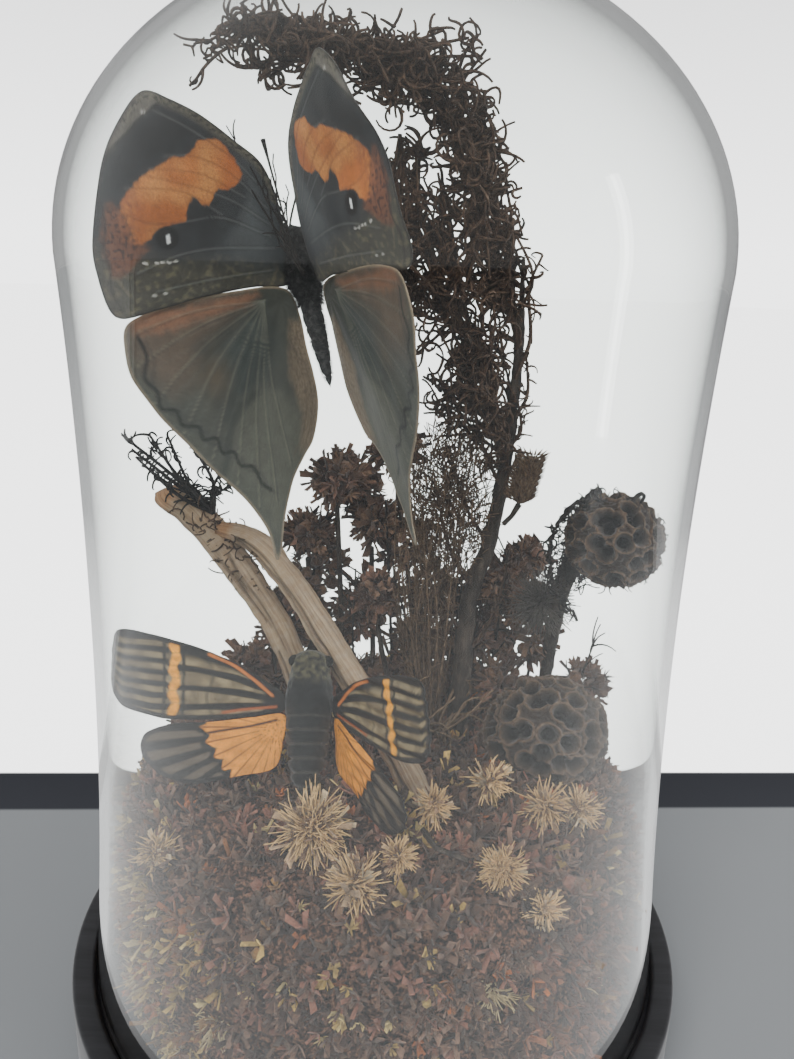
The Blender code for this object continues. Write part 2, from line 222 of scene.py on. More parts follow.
def cloud(mat, where, scale, detail=6.0, rough=0.6, warp=0.0):
    made = node(mat, "ShaderNodeTexNoise", Scale=scale, Detail=detail, Roughness=rough,
                Distortion=warp)
    wire(mat, where, made.inputs["Vector"])
    return made.outputs["Fac"]

def ramp(mat, value, *stops):
    made = node(mat, "ShaderNodeValToRGB")
    bar = made.color_ramp
    while len(bar.elements) < len(stops):
        bar.elements.new(0.5)
    for element, (at, colour) in zip(bar.elements, stops):
        element.position = at
        element.color = colour
    wire(mat, value, made.inputs["Fac"])
    return made.outputs["Color"]

def blend(mat, factor, first, second, how="MIX"):
    made = node(mat, "ShaderNodeMix", data_type="RGBA", blend_type=how)
    for index, value in ((0, factor), (6, first), (7, second)):
        feed(mat, value, made.inputs[index])
    return made.outputs[2]

def relief(mat, height, depth, strength=0.8):
    made = node(mat, "ShaderNodeBump", Strength=strength, Distance=depth)
    wire(mat, height, made.inputs["Height"])
    wire(mat, made.outputs["Normal"], shader_of(mat).inputs["Normal"])

def colour_in(mat, socket):
    wire(mat, socket, shader_of(mat).inputs["Base Color"])

def rough_in(mat, value, low, high):
    wire(mat, remap(mat, value, 0.0, 1.0, low, high), shader_of(mat).inputs["Roughness"])

def wear(obj, mat):
    obj.data.materials.clear()
    obj.data.materials.append(mat)
    return obj

def painted(obj, colours, name="paint"):
    colours = np.asarray(colours, float)
    if colours.shape[1] == 3:
        colours = np.hstack([colours, np.ones((len(colours), 1))])
    layer = obj.data.attributes.new(name, "FLOAT_COLOR", "POINT")
    layer.data.foreach_set("color", colours.ravel())
    return obj

def paint_colour(mat, name="paint"):
    return node(mat, "ShaderNodeAttribute", attribute_name=name).outputs["Color"]

print("helpers ready")

# %% [markdown]
# ## The camera, the floor and the light
# The dome is seen from a hand's breadth in front, a little above its middle,
# with the camera tipped down and rolled by two degrees.

# %% Camera
def set_camera():
    right = Vector((0.99942, 0.01014, 0.03238))
    up = Vector((-0.03393, 0.29864, 0.95376))
    back = right.cross(up).normalized()
    up = back.cross(right).normalized()
    data = bpy.data.cameras.new("dome_camera")
    data.lens, data.sensor_width, data.sensor_fit = 28.9, 36.0, "AUTO"
    data.clip_start, data.clip_end = 0.005, 30.0
    camera = put_in_scene("dome_camera", data)
    turn = Matrix((right, up, back)).transposed()
    camera.matrix_world = Matrix.Translation((0.00242, -0.20927, 0.20297)) @ turn.to_4x4()
    bpy.context.scene.camera = camera
    return camera

camera = set_camera()
print("camera at", tuple(round(v, 3) for v in camera.location), "m")

# %% [markdown]
# The floor is one disc: a grey table that ends in a dark edge behind the dome,
# and a white room beyond, so the glass has something light to show. In mirrored
# light the table also shines a little, which clouds the foot of the glass.

# %% Floor
ROOM_LIGHT, ROOM_SEEN, TABLE_SHINE = 0.75, 3.4, 0.8
FLOOR_GLOW = ROOM_SEEN - 0.6
TABLE_EDGE, EDGE_DEPTH, EDGE_SLOPE = 0.075, 0.025, 0.06
SHINE_NEAR, SHINE_FAR = 0.2, 0.55

def seen_directly(owner):
    # 1 for light seen straight or through the glass, 0 for light that falls on things.
    path = node(owner, "ShaderNodeLightPath").outputs
    either = calc(owner, "MAXIMUM", path["Is Camera Ray"], path["Is Transmission Ray"])
    return calc(owner, "MULTIPLY", either, calc(owner, "LESS_THAN", path["Glossy Depth"], 0.5))

def mirrored(owner):
    path = node(owner, "ShaderNodeLightPath")
    return calc(owner, "GREATER_THAN", path.outputs["Glossy Depth"], 0.5)

def add_glow(mat, strength):
    glow = node(mat, "ShaderNodeEmission")
    wire(mat, strength, glow.inputs["Strength"])
    both = node(mat, "ShaderNodeAddShader")
    wire(mat, shader_of(mat).outputs[0], both.inputs[0])
    wire(mat, glow.outputs[0], both.inputs[1])
    wire(mat, both.outputs[0], mat.node_tree.nodes["Material Output"].inputs["Surface"])

def make_floor():
    let_go()
    bpy.ops.mesh.primitive_circle_add(vertices=128, radius=6.0, fill_type="NGON",
                                      location=(0, 0, -0.0004))
    floor = settle(named("floor"))
    mat = finish("pale_floor", 0.55)
    where = place(mat)
    distance = node(mat, "ShaderNodeVectorMath", operation="LENGTH")
    wire(mat, where, distance.inputs[0])
    behind = node(mat, "ShaderNodeVectorMath", operation="DOT_PRODUCT")
    behind.inputs[1].default_value = (-EDGE_SLOPE, 1.0, 0.0)
    wire(mat, where, behind.inputs[0])
    depth = remap(mat, behind.outputs["Value"], TABLE_EDGE - 0.02, TABLE_EDGE + 0.04)
    colour_in(mat, ramp(mat, depth, (0.32, swatch(152, 155, 158)), (0.345, swatch(48, 50, 58)),
                        (0.73, swatch(40, 42, 50)), (0.75, swatch(236, 237, 238))))
    room_starts = TABLE_EDGE + EDGE_DEPTH
    beyond = remap(mat, behind.outputs["Value"], room_starts - 0.0008, room_starts + 0.0002)
    seen = calc(mat, "MULTIPLY", calc(mat, "MULTIPLY", beyond, seen_directly(mat)), FLOOR_GLOW)
    near = remap(mat, distance.outputs["Value"], SHINE_NEAR, SHINE_FAR, TABLE_SHINE, 0.0)
    add_glow(mat, calc(mat, "ADD", seen, calc(mat, "MULTIPLY", near, mirrored(mat))))
    wear(floor, mat)
    return floor

floor = make_floor()
print("floor", len(floor.data.polygons), "face")

# %% [markdown]
# A white room lights the dome from all round. A large soft lamp above and in
# front brings out the colours of the wings, a weaker one fills the right side,
# and a narrow one draws a single streak on the glass.

# %% Light
def soft_lamp(name, at, towards, size, power, colour=(1, 1, 1)):
    data = bpy.data.lights.new(name, "AREA")
    data.shape, data.size, data.size_y = "RECTANGLE", size[0], size[1]
    data.energy, data.color = power, colour
    lamp = put_in_scene(name, data)
    aim = (Vector(towards) - Vector(at)).to_track_quat("-Z", "Y")
    lamp.matrix_world = Matrix.Translation(at) @ aim.to_matrix().to_4x4()
    return lamp

def light_room():
    world = bpy.data.worlds.new("white_room")
    bpy.context.scene.world = world
    world.use_nodes = True
    sky = world.node_tree.nodes["Background"]
    split = node(world, "ShaderNodeSeparateXYZ")
    wire(world, node(world, "ShaderNodeTexCoord").outputs["Generated"], split.inputs["Vector"])
    graded = ramp(world, split.outputs["Z"], *((at, (grey, grey * 1.005, grey * 1.01, 1))
                                               for at, grey in ((0.02, 1.0), (0.42, 0.4))))
    even = (0.62, 0.625, 0.63, 1)
    wire(world, blend(world, seen_directly(world), even, graded), sky.inputs["Color"])
    power = remap(world, seen_directly(world), 0.0, 1.0, ROOM_LIGHT, ROOM_SEEN)
    wire(world, power, sky.inputs["Strength"])
    made = [soft_lamp("front_lamp", (-0.5, -1.0, 1.1), (0, 0, 0.15), (0.9, 0.7), 16),
            soft_lamp("side_lamp", (1.1, -0.5, 0.7), (0, 0, 0.12), (0.6, 0.9), 5),
            soft_lamp("strip_lamp", (0.75, -0.25, 0.25), (0, 0, 0.14), (0.05, 0.7), 1.2)]
    for lamp in made[:2]:
        lamp.visible_glossy = lamp.visible_transmission = False
    return made

lamps = light_room()
print(len(lamps), "lamps and a white room")

# %% [markdown]
# ## The black foot
# The foot is a turned disc of wood, painted satin black, with a groove that
# holds the rim of the bell. A cylinder gets two insets on its top, the ring
# between them is pushed down as the groove, and the edges are bevelled.

# %% Foot
FOOT_RADIUS, FOOT_HEIGHT = 85.5, 18.0
GROOVE_OUTSIDE, GROOVE_INSIDE, GROOVE_DEPTH = 79.6, 76.2, 3.0

def black_wood():
    mat = finish("black_wood", 0.42, Coat_Weight=0.15, Coat_Roughness=0.35)
    where = place(mat, (1.0, 9.0, 9.0))
    grain = cloud(mat, where, 42.0, 8.0, 0.65, 0.3)
    colour_in(mat, ramp(mat, grain, (0.35, swatch(33, 33, 36)), (0.72, swatch(50, 50, 53))))
    rough_in(mat, cloud(mat, place(mat), 60.0, 5.0), 0.34, 0.56)
    relief(mat, grain, 0.00012, 0.35)
    return mat

def make_foot():
    let_go()
    bpy.ops.mesh.primitive_cylinder_add(vertices=192, radius=FOOT_RADIUS * MM,
                                        depth=FOOT_HEIGHT * MM,
                                        location=(0, 0, FOOT_HEIGHT * MM / 2))
    foot = settle(named("black_foot"))
    bpy.ops.object.mode_set(mode="EDIT")
    bpy.ops.mesh.select_all(action="DESELECT")
    bpy.ops.object.mode_set(mode="OBJECT")
    for face in foot.data.polygons:
        face.select = face.normal.z > 0.9
    bpy.ops.object.mode_set(mode="EDIT")
    bpy.ops.mesh.inset(thickness=(FOOT_RADIUS - GROOVE_OUTSIDE) * MM)
    bpy.ops.mesh.inset(thickness=(GROOVE_OUTSIDE - GROOVE_INSIDE) * MM)
    bpy.ops.object.mode_set(mode="OBJECT")
    middle = (GROOVE_OUTSIDE + GROOVE_INSIDE) / 2 * MM
    for face in foot.data.polygons:
        reach = math.hypot(face.center.x, face.center.y)
        face.select = face.normal.z > 0.9 and abs(reach - middle) < 0.0009
    bpy.ops.object.mode_set(mode="EDIT")
    bpy.ops.mesh.extrude_region_move(
        TRANSFORM_OT_translate={"value": (0, 0, -GROOVE_DEPTH * MM)})
    bpy.ops.mesh.select_all(action="SELECT")
    bpy.ops.mesh.normals_make_consistent(inside=False)
    bpy.ops.object.mode_set(mode="OBJECT")
    finish_with(foot, "BEVEL", width=1.1 * MM, segments=4, limit_method="ANGLE",
                angle_limit=math.radians(50), use_clamp_overlap=True)
    pick(foot)
    bpy.ops.object.shade_smooth_by_angle(angle=math.radians(35))
    wear(foot, black_wood())
    return hand_in(foot, "black_wood", "base")

foot = make_foot()

# %% [markdown]
# ## The glass bell
# The bell is blown: nearly straight sides with a slight waist, and a round
# crown. Its profile, outside and inside, is spun round the middle, the seam
# and poles are merged, and the wall is given faint waves, as blown glass has.

# %% Bell
BELL_SIDE, BELL_CROWN, BELL_WALL = 185.0, 62.4, 2.2

def bell_radius(height):
    t = height / BELL_SIDE
    return 79 * (1 - t) * (1 - 2 * t) + 73.5 * 4 * t * (1 - t) + 75 * t * (2 * t - 1)

def bell_profile(inset):
    heights = np.linspace(-2.7, BELL_SIDE, 60)
    side = [(bell_radius(max(h, 0)) - inset, FOOT_HEIGHT + h) for h in heights]
    top = bell_radius(BELL_SIDE) - inset
    angles = np.linspace(0, math.pi / 2, 37)[1:]
    crown = [(top * math.cos(a), FOOT_HEIGHT + BELL_SIDE + (BELL_CROWN - inset) * math.sin(a))
             for a in angles]
    return side + crown

def bell_glass():
    mat = finish("clear_glass", 0.0, IOR=1.45, Transmission_Weight=1.0)
    shader = mat.node_tree.nodes["Principled BSDF"]
    shader.inputs["Base Color"].default_value = (0.962, 0.984, 0.968, 1)
    waves = cloud(mat, place(mat, (1, 1, 0.45)), 22.0, 2.0, 0.4, 0.4)
    relief(mat, waves, 0.0006, 0.25)
    clear = node(mat, "ShaderNodeBsdfTransparent")
    path = node(mat, "ShaderNodeLightPath")
    mix = node(mat, "ShaderNodeMixShader")
    output = mat.node_tree.nodes["Material Output"]
    wire(mat, path.outputs["Is Shadow Ray"], mix.inputs[0])
    wire(mat, shader.outputs[0], mix.inputs[1])
    wire(mat, clear.outputs[0], mix.inputs[2])
    wire(mat, mix.outputs[0], output.inputs["Surface"])
    return mat

def make_bell():
    outside, inside = bell_profile(0.0), bell_profile(BELL_WALL)
    loop = outside + inside[::-1]
    verts = [(r, 0, z) for r, z in loop]
    edges = [(i, i + 1) for i in range(len(verts) - 1)] + [(len(verts) - 1, 0)]
    edges = [e for e in edges if set(e) != {len(outside) - 1, len(outside)}]
    bell = mesh_of("glass_bell", verts, edges, [])
    pick(bell)
    bpy.ops.object.mode_set(mode="EDIT")
    bpy.ops.mesh.select_all(action="SELECT")
    bpy.ops.mesh.spin(steps=144, angle=2 * math.pi, center=(0, 0, 0), axis=(0, 0, 1))
    bpy.ops.object.mode_set(mode="OBJECT")
    tidy_mesh(bell, 2e-6)
    p = points_of(bell) / MM
    reach = np.hypot(p[:, 0], p[:, 1])
    wave = 0.16 * wobble(p * (1, 1, 0.6), 34.0, 2.0) * np.clip((p[:, 2] - 22) / 30, 0, 1)
    p[:, :2] *= (1 + wave / np.maximum(reach, 8))[:, None]
    move_points(bell, p * MM)
    smooth(bell)
    wear(bell, bell_glass())
    return hand_in(bell, "clear_glass", "glass_dome")

bell = make_bell()

# %% [markdown]
# ## Wood and stems
# A grid is rolled into a tube and laid along a route. It stays a plain grid of
# squares, so its own UV map runs along the wood and the grain can follow it.

# %% Tubes along a route
def lay_tube(name, route, radii, around=24, along=120, lump=0.0, size=6.0, flat=1.0, crack=None):
    path = through(route, 14)
    share = np.r_[0, np.cumsum(np.linalg.norm(np.diff(path, axis=0), axis=1))]
    share /= share[-1]
    girth = through(np.c_[radii, radii, radii], 14)[:, 0]
    let_go()
    bpy.ops.mesh.primitive_grid_add(x_subdivisions=around, y_subdivisions=along, size=1)
    tube = named(name)
    g = points_of(tube)[:, :2] + 0.5
    ends = 0.012
    s = np.clip((g[:, 1] - ends) / (1 - 2 * ends), 0, 1)
    middle = np.stack([np.interp(s, share, path[:, k]) for k in range(3)], 1)
    ahead = np.stack([np.interp(np.minimum(s + 0.01, 1), share, path[:, k])
                      - np.interp(np.maximum(s - 0.01, 0), share, path[:, k])
                      for k in range(3)], 1)
    ahead /= np.linalg.norm(ahead, axis=1)[:, None]
    side = np.cross(ahead, (0.31, 0.93, 0.17))
    side /= np.linalg.norm(side, axis=1)[:, None]
    other = np.cross(ahead, side)
    turn = 2 * math.pi * g[:, 0]
    r = np.interp(s, share, girth)
    ring = np.clip(np.minimum(g[:, 1], 1 - g[:, 1]) / ends, 0, 1)
    place_at = middle + (r * np.cos(turn))[:, None] * side \
        + (flat * r * np.sin(turn))[:, None] * other
    if lump:
        place_at += (lump * wobble(place_at, size, 5.0)
                     + 0.35 * lump * wobble(place_at, size / 3, 8.0))[:, None] \
            * unit_rows(place_at - middle)
    if crack is not None:
        out = unit_rows(place_at - middle)
        off = np.arccos(np.clip(out @ unit(crack), -1, 1)) + 0.35 * wobble(place_at, 11.0, 3.0)
        split = np.exp(-((off - 0.25) / 0.085) ** 2) * (wobble(place_at, 16.0, 9.0) > -0.22)
        place_at -= out * (0.55 * split)[:, None]
        cut = np.clip((0.045 - s) / 0.02, 0, 1)[:, None]
        # The split is painted darker as well, as painted shade in the crack.
        shade = (1 - 0.72 * split)[:, None] * np.ones((1, 3))
        painted(tube, shade * (1 - cut) + np.array([[1.05, 0.8, 0.6]]) * cut)
    place_at = middle + (place_at - middle) * ring[:, None]
    move_points(tube, place_at * MM)
    tidy_mesh(tube, 2e-6)
    return smooth(tube)

def unit_rows(v):
    return v / np.maximum(np.linalg.norm(v, axis=1), 1e-9)[:, None]

def drift_wood():
    mat = finish("weathered_driftwood", 0.78)
    along = place(mat, (5.0, 34.0, 1.0), "UV")
    bands = place(mat, (13.0, 1.9, 1.0), "UV")
    where = place(mat)
    streak = cloud(mat, bands, 2.2, 9.0, 0.72, 0.35)
    patch = cloud(mat, where, 70.0, 6.0, 0.65)
    base = ramp(mat, streak, (0.36, swatch(84, 58, 38)), (0.45, swatch(164, 130, 94)),
                (0.55, swatch(218, 188, 146)), (0.68, swatch(242, 220, 184)))
    aged = blend(mat, patch, base, swatch(122, 106, 90), "MIX")
    tan = ramp(mat, cloud(mat, along, 1.4, 4.0), (0.4, swatch(148, 122, 96)),
               (0.7, swatch(176, 164, 150)))
    colour_in(mat, blend(mat, 1.0, blend(mat, 0.35, aged, tan), paint_colour(mat), "MULTIPLY"))
    rough_in(mat, streak, 0.62, 0.9)
    relief(mat, streak, 0.0012, 1.0)
    return mat

def bark(name, dark, mid, pale, scale=1.0):
    mat = finish(name, 0.8)
    where = place(mat, (scale, scale, 0.28 * scale))
    cracks = cloud(mat, where, 620.0, 8.0, 0.7, 0.5)
    patch = cloud(mat, place(mat), 140.0, 4.0)
    base = ramp(mat, cracks, (0.36, dark), (0.52, mid), (0.7, pale))
    colour_in(mat, blend(mat, patch, base, dark, "MULTIPLY"))
    rough_in(mat, cracks, 0.65, 0.92)
    relief(mat, cracks, 0.0004, 0.8)
    return mat

DRIFTWOOD = drift_wood()
DARK_BARK = bark("dark_bark", swatch(38, 31, 27), swatch(72, 61, 53), swatch(112, 99, 88))

# %% [markdown]
# Two pieces of driftwood cross in the middle. Waves and grain have worn them,
# so the tubes are lumpy, with a rounded top end.

# %% Driftwood
def make_driftwood():
    main = lay_tube("driftwood_bent_stick",
                    [(-60.5, 10, 143.6), (-59.4, 10, 142), (-54, 10.5, 138.5), (-48.5, 10.5, 132),
                     (-40, 8, 122.5), (-30, 4.5, 109), (-23.6, 1, 96), (-20, -1, 84),
                     (-17, -2, 62)],
                    [2.6, 4.2, 4.6, 4.5, 4.3, 4.1, 4, 4, 4], 44, 250, 0.75, 9.0, 0.92,
                    (-0.3, -0.9, 0.2))
    prong = lay_tube("driftwood_straight_stick",
                     [(-46, 8.5, 133.5), (-36, 7, 131), (-27, 3, 123.6), (-14, -6.5, 108.2),
                      (-1.6, -15, 92.2), (9, -24, 77.7), (17, -32, 67.5), (21, -36, 62)],
                     [2.2, 3.4, 3.6, 3.7, 3.7, 3.8, 3.8, 3.8], 44, 250, 0.6, 8.0, 0.94,
                     (-0.5, -0.85, -0.1))
    for stick, node_name in ((main, "driftwood_main"), (prong, "driftwood_prong")):
        wear(stick, DRIFTWOOD)
        hand_in(stick, "weathered_driftwood", node_name)

make_driftwood()

# %% [markdown]
# The tall woody stem stands behind the butterfly and carries the curly crown.
# It is laid the same way, thinner towards the top.

# %% Stems
def make_stems():
    stem = lay_tube("tall_woody_stem",
                    [(30.8, 7, 205), (31.6, 9, 185), (31.3, 9.5, 170), (30.6, 9.5, 155),
                     (27.5, 9.5, 132.5), (23.2, 9, 115), (22, 7, 92), (21.2, 5.5, 75), (21, 5, 62)],
                    [0.5, 1.2, 1.5, 1.8, 2.1, 2.4, 2.7, 3, 3], 20, 200, 0.5, 5.0)
    head_stem = lay_tube("honeycomb_head_stem",
                         [(47.4, -6, 133), (46.6, 1, 123), (47.5, 10, 108), (48, 18, 92),
                          (48, 21, 76), (48, 21.5, 62)],
                         [3.0, 2.3, 2, 2, 2.1, 2.1], 16, 140, 0.4, 4.0)
    wear(stem, DARK_BARK)
    wear(head_stem, DARK_BARK)
    hand_in(stem, "dark_bark", "woody_stem")
    hand_in(head_stem, "dark_bark", "honeycomb_stem")

make_stems()
for node_name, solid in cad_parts.items():
    if "bloom_stem" in node_name or node_name in ("straw_twig", "thistle_twig"):
        wear(solid, DARK_BARK)

# %% [markdown]
# ## The mound of dried florets
# The mound is a lump with a rough skin, and thousands of small florets cover
# it. The lump is a sphere pushed onto the mound's profile; the florets come
# next, because they also cover the flower heads.

# %% Mound core
MOUND_PROFILE = np.array([(0, 18.3), (71, 18.3), (71.5, 50), (69.5, 62), (64, 69), (54, 73),
                          (36, 75.5), (18, 77), (0, 78)], float)

def mound_point(share):
    path = MOUND_PROFILE
    length = np.r_[0, np.cumsum(np.linalg.norm(np.diff(path, axis=0), axis=1))]
    at = np.asarray(share) * length[-1]
    return np.interp(at, length, path[:, 0]), np.interp(at, length, path[:, 1])

def crumbly(name, dark, mid, pale):
    mat = finish(name, 0.88)
    where = place(mat)
    grains = cloud(mat, where, 900.0, 8.0, 0.75, 0.4)
    colour_in(mat, ramp(mat, grains, (0.42, dark), (0.5, mid), (0.61, pale)))
    rough_in(mat, grains, 0.75, 0.95)
    relief(mat, grains, 0.0008, 1.0)
    return mat

def make_mound_core():
    let_go()
    bpy.ops.mesh.primitive_uv_sphere_add(segments=230, ring_count=140, radius=1.0)
    core = named("mound_core")
    p = points_of(core)
    share = np.arccos(np.clip(-p[:, 2], -1, 1)) / math.pi
    reach, height = mound_point(share)
    angle = np.arctan2(p[:, 1], p[:, 0])
    q = np.stack([reach * np.cos(angle), reach * np.sin(angle), height], 1)
    rough = 1.2 * wobble(q, 9.0, 1.0) + 0.9 * wobble(q, 2.6, 4.0) + 0.6 * wobble(q, 1.1, 7.0) - 2.6
    inward = q - np.array([0, 0, 45])
    q = q + unit_rows(inward) * (rough * np.clip((q[:, 2] - 18.5) / 4, 0, 1))[:, None]
    move_points(core, q * MM)
    tidy_mesh(core)
    smooth(core)
    wear(core, crumbly("mound_litter", swatch(14, 9, 7), swatch(64, 40, 31), swatch(154, 110, 84)))
    return hand_in(core, "red_brown_florets", "flower_mound")

make_mound_core()

# %% [markdown]
# A floret is modelled once and copied. One is a rosette of curled pointed
# petals, one a smaller crinkled star, one a crumpled bud and one a bristly
# burst; each has only a few dozen faces, because thousands are laid.

# %% Floret patterns
def petal_star(points, inner, lift, seed):
    let_go()
    bpy.ops.mesh.primitive_circle_add(vertices=2 * points, radius=1.0, fill_type="TRIFAN")
    star = named("petal_star")
    p = points_of(star)
    draw = np.random.default_rng(seed)
    angle = np.arctan2(p[:, 1], p[:, 0])
    step = np.round(angle / (math.pi / points)).astype(int) % 2
    reach = np.where(np.hypot(p[:, 0], p[:, 1]) < 0.1, 0, np.where(step == 0, 1.0, inner))
    reach = reach * (1 + draw.uniform(-0.22, 0.22, len(p)))
    rise = lift * reach**2 + draw.uniform(-0.12, 0.22, len(p)) * reach
    angle = angle + draw.uniform(-0.16, 0.16, len(p))
    move_points(star, np.stack([reach * np.cos(angle), reach * np.sin(angle), rise], 1))
    finish_with(star, "SOLIDIFY", thickness=0.1, offset=0.0)
    return star

def take(obj):
    obj.data.calc_loop_triangles()
    tris = np.empty(len(obj.data.loop_triangles) * 3, np.int32)
    obj.data.loop_triangles.foreach_get("vertices", tris)
    shape = (points_of(obj).copy(), tris.reshape(-1, 3))
    bpy.data.objects.remove(obj)
    return shape

def stacked(*layers):
    points, faces, count = [], [], 0
    for (p, f), size, lift, turn in layers:
        c, s = math.cos(turn), math.sin(turn)
        q = p * size
        q = np.stack([q[:, 0] * c - q[:, 1] * s, q[:, 0] * s + q[:, 1] * c, q[:, 2] + lift], 1)
        points.append(q)
        faces.append(f + count)
        count += len(q)
    return np.vstack(points), np.vstack(faces)

def bud(seed):
    let_go()
    bpy.ops.mesh.primitive_ico_sphere_add(subdivisions=1, radius=0.72)
    lump = named("bud")
    bpy.ops.object.mode_set(mode="EDIT")
    bpy.ops.mesh.subdivide(number_cuts=1, fractal=0.9, seed=seed)
    bpy.ops.object.mode_set(mode="OBJECT")
    return lump

def bristle_burst(count, seed, thick=0.07):
    draw = np.random.default_rng(seed)
    points, faces = [], []
    for k in range(count):
        height = 1 - (k + 0.5) / count * 1.15
        spin = k * GOLDEN_TURN + draw.uniform(-0.3, 0.3)
        flat = math.sqrt(max(0, 1 - height * height))
        out = np.array([flat * math.cos(spin), flat * math.sin(spin), height])
        side = unit(np.cross(out, (0.3, 0.2, 0.93)))
        up = np.cross(out, side)
        bend = side * draw.uniform(-0.3, 0.3) + np.array([0, 0, 0.22])
        reach = draw.uniform(0.75, 1.05)
        base = len(points)
        for share, girth in ((0.12, 1.2), (0.6, 0.8)):
            for corner in range(3):
                a = corner * THIRD_TURN
                points.append(out * reach * share + bend * share**2 * reach
                              + (side * math.cos(a) + up * math.sin(a)) * thick * girth)
        points.append(out * reach + bend * reach)
        for corner in range(3):
            nxt = (corner + 1) % 3
            faces += [(base + corner, base + nxt, base + 3 + nxt),
                      (base + corner, base + 3 + nxt, base + 3 + corner),
                      (base + 3 + corner, base + 3 + nxt, base + 6)]
        faces.append((base + 2, base + 1, base))
    return np.array(points), np.array(faces)

STAR_A, STAR_B = take(petal_star(7, 0.3, 0.7, 3)), take(petal_star(5, 0.26, 1.1, 9))
BUD = take(bud(4))
ROSETTE = stacked((STAR_A, 1.0, 0.0, 0.0), (STAR_B, 0.62, 0.22, 0.5))
CRINKLE = stacked((STAR_B, 1.0, 0.0, 0.0))
BURST = bristle_burst(9, 5, 0.09)
FLORETS = {"rosette": ROSETTE, "crinkle": CRINKLE, "bud": BUD, "burst": BURST}
print({name: len(shape[1]) for name, shape in FLORETS.items()}, "triangles each")

# %% [markdown]
# A laying list says where each floret sits, which way it faces, its size and
# its colour. All of them become one mesh, with the colour kept on its points.

# %% Laying florets
def lay_florets(name, laid, slot_name, mat, *nodes):
    points, faces, colours, count = [], [], [], 0
    for kind, at, facing, size, colour in laid:
        p, f = FLORETS[kind]
        z = unit(facing)
        x = unit(np.cross(z, rng.normal(size=3)))
        y = np.cross(z, x)
        points.append(np.asarray(at) + size * (p @ np.stack([x, y, z])))
        faces.append(f + count)
        # Each floret is painted darker at its heart and lighter out to its tips: painted shade
        # between the petals and painted highlight on the tips.
        height = np.clip(np.linalg.norm(p, axis=1), 0, 1.2)[:, None]
        colours.append(np.asarray(colour)[None, :3] * (0.55 + 0.6 * height))
        count += len(p)
    obj = mesh_of(name, np.vstack(points), [], np.vstack(faces).tolist())
    painted(obj, np.vstack(colours))
    wear(obj, mat)
    return hand_in(obj, slot_name, *nodes)

def dried_petal(name, fine=1400.0):
    mat = finish(name, 0.82, Sheen_Weight=0.15)
    where = place(mat)
    veins = cloud(mat, where, fine, 6.0, 0.7, 0.6)
    shade = ramp(mat, veins, (0.3, (0.45, 0.42, 0.4, 1)), (0.7, (1.35, 1.3, 1.25, 1)))
    colour_in(mat, blend(mat, 1.0, paint_colour(mat), shade, "MULTIPLY"))
    rough_in(mat, veins, 0.7, 0.95)
    relief(mat, veins, 0.0003, 0.7)
    return mat

PETAL = dried_petal("dried_petals")
RED_BROWN = [swatch(104, 78, 64), swatch(82, 60, 49), swatch(126, 98, 82), swatch(60, 43, 36),
             swatch(132, 88, 72), swatch(90, 72, 60)]
OLIVE_TAN = [swatch(168, 140, 74), swatch(190, 162, 92), swatch(140, 104, 54), swatch(158, 90, 40),
             swatch(208, 188, 124), swatch(120, 76, 40)]
RUST = [swatch(108, 64, 44), swatch(86, 52, 38), swatch(134, 84, 56), swatch(70, 44, 34)]

def mound_colour(at):
    # Red-brown in front and on top, yellow-green and rust towards the left
    # side, rust low on the right.
    angle = math.degrees(math.atan2(at[1], at[0]))
    low = at[2] < 62
    pick_from = RED_BROWN
    if low and (angle < -118 or angle > 150) and rng.random() < 0.72:
        pick_from = OLIVE_TAN
    elif low and -62 < angle < 30 and rng.random() < 0.75:
        pick_from = RUST
    elif rng.random() < 0.1:
        pick_from = OLIVE_TAN
    return np.array(pick_from[rng.integers(len(pick_from))]) * rng.uniform(0.7, 1.25)

# How many florets cover the mound, and how far along its profile, from the foot
# to the top, the low band and the side band end.
MOUND_FLORETS = 5300
LOW_BAND_END, SIDE_BAND_END = 0.455, 0.6

def make_mound_florets():
    lists = {"mound_florets_low": [], "mound_florets_side": [], "mound_florets_top": []}
    for k in range(MOUND_FLORETS):
        share = rng.uniform(0.335, 0.6) if k % 5 < 2 else 1 - 0.46 * math.sqrt(rng.random())
        reach, height = mound_point(share)
        spin = rng.uniform(0, 2 * math.pi)
        out = np.array([math.cos(spin), math.sin(spin), 0])
        lean = np.clip((height - 58) / 16, 0, 1)
        facing = unit(out * (1 - 0.85 * lean) + np.array([0, 0, 0.15 + lean]))
        facing = facing + 0.3 * rng.normal(size=3)
        size = rng.uniform(1.3, 2.5) * (1 + 0.2 * lean)
        kind = ("rosette", "crinkle", "bud", "burst")[rng.choice(4, p=(0.3, 0.46, 0.08, 0.16))]
        depth = 0.3 * size + rng.uniform(0, 1.3)
        at = out * (reach - depth * (1 - 0.6 * lean)) + np.array([0, 0, height - depth * lean])
        at[2] += rng.uniform(-0.4, 0.8) * lean
        band = "mound_florets_low" if share < LOW_BAND_END else \
            "mound_florets_side" if share < SIDE_BAND_END else "mound_florets_top"
        lists[band].append((kind, at, facing, size, mound_colour(at)))
    for name, laid in lists.items():
        lay_florets(name, laid, "red_brown_florets", PETAL)

make_mound_florets()

# %% [markdown]
# ## Wings
# A wing is a thin sheet with a smooth outline. A grid is wrapped round a point
# inside the outline, so its rings follow the edge, and each point knows its
# place on the wing: how far out from the body, and how far up, in millimetres.
# The markings are painted from those two numbers onto the points.

# %% Wing sheets
def frame_of(root, out, up):
    out = unit(out)
    up = np.asarray(up, float)
    up = unit(up - out * (up @ out))
    return np.asarray(root, float), out, up, np.cross(out, up)

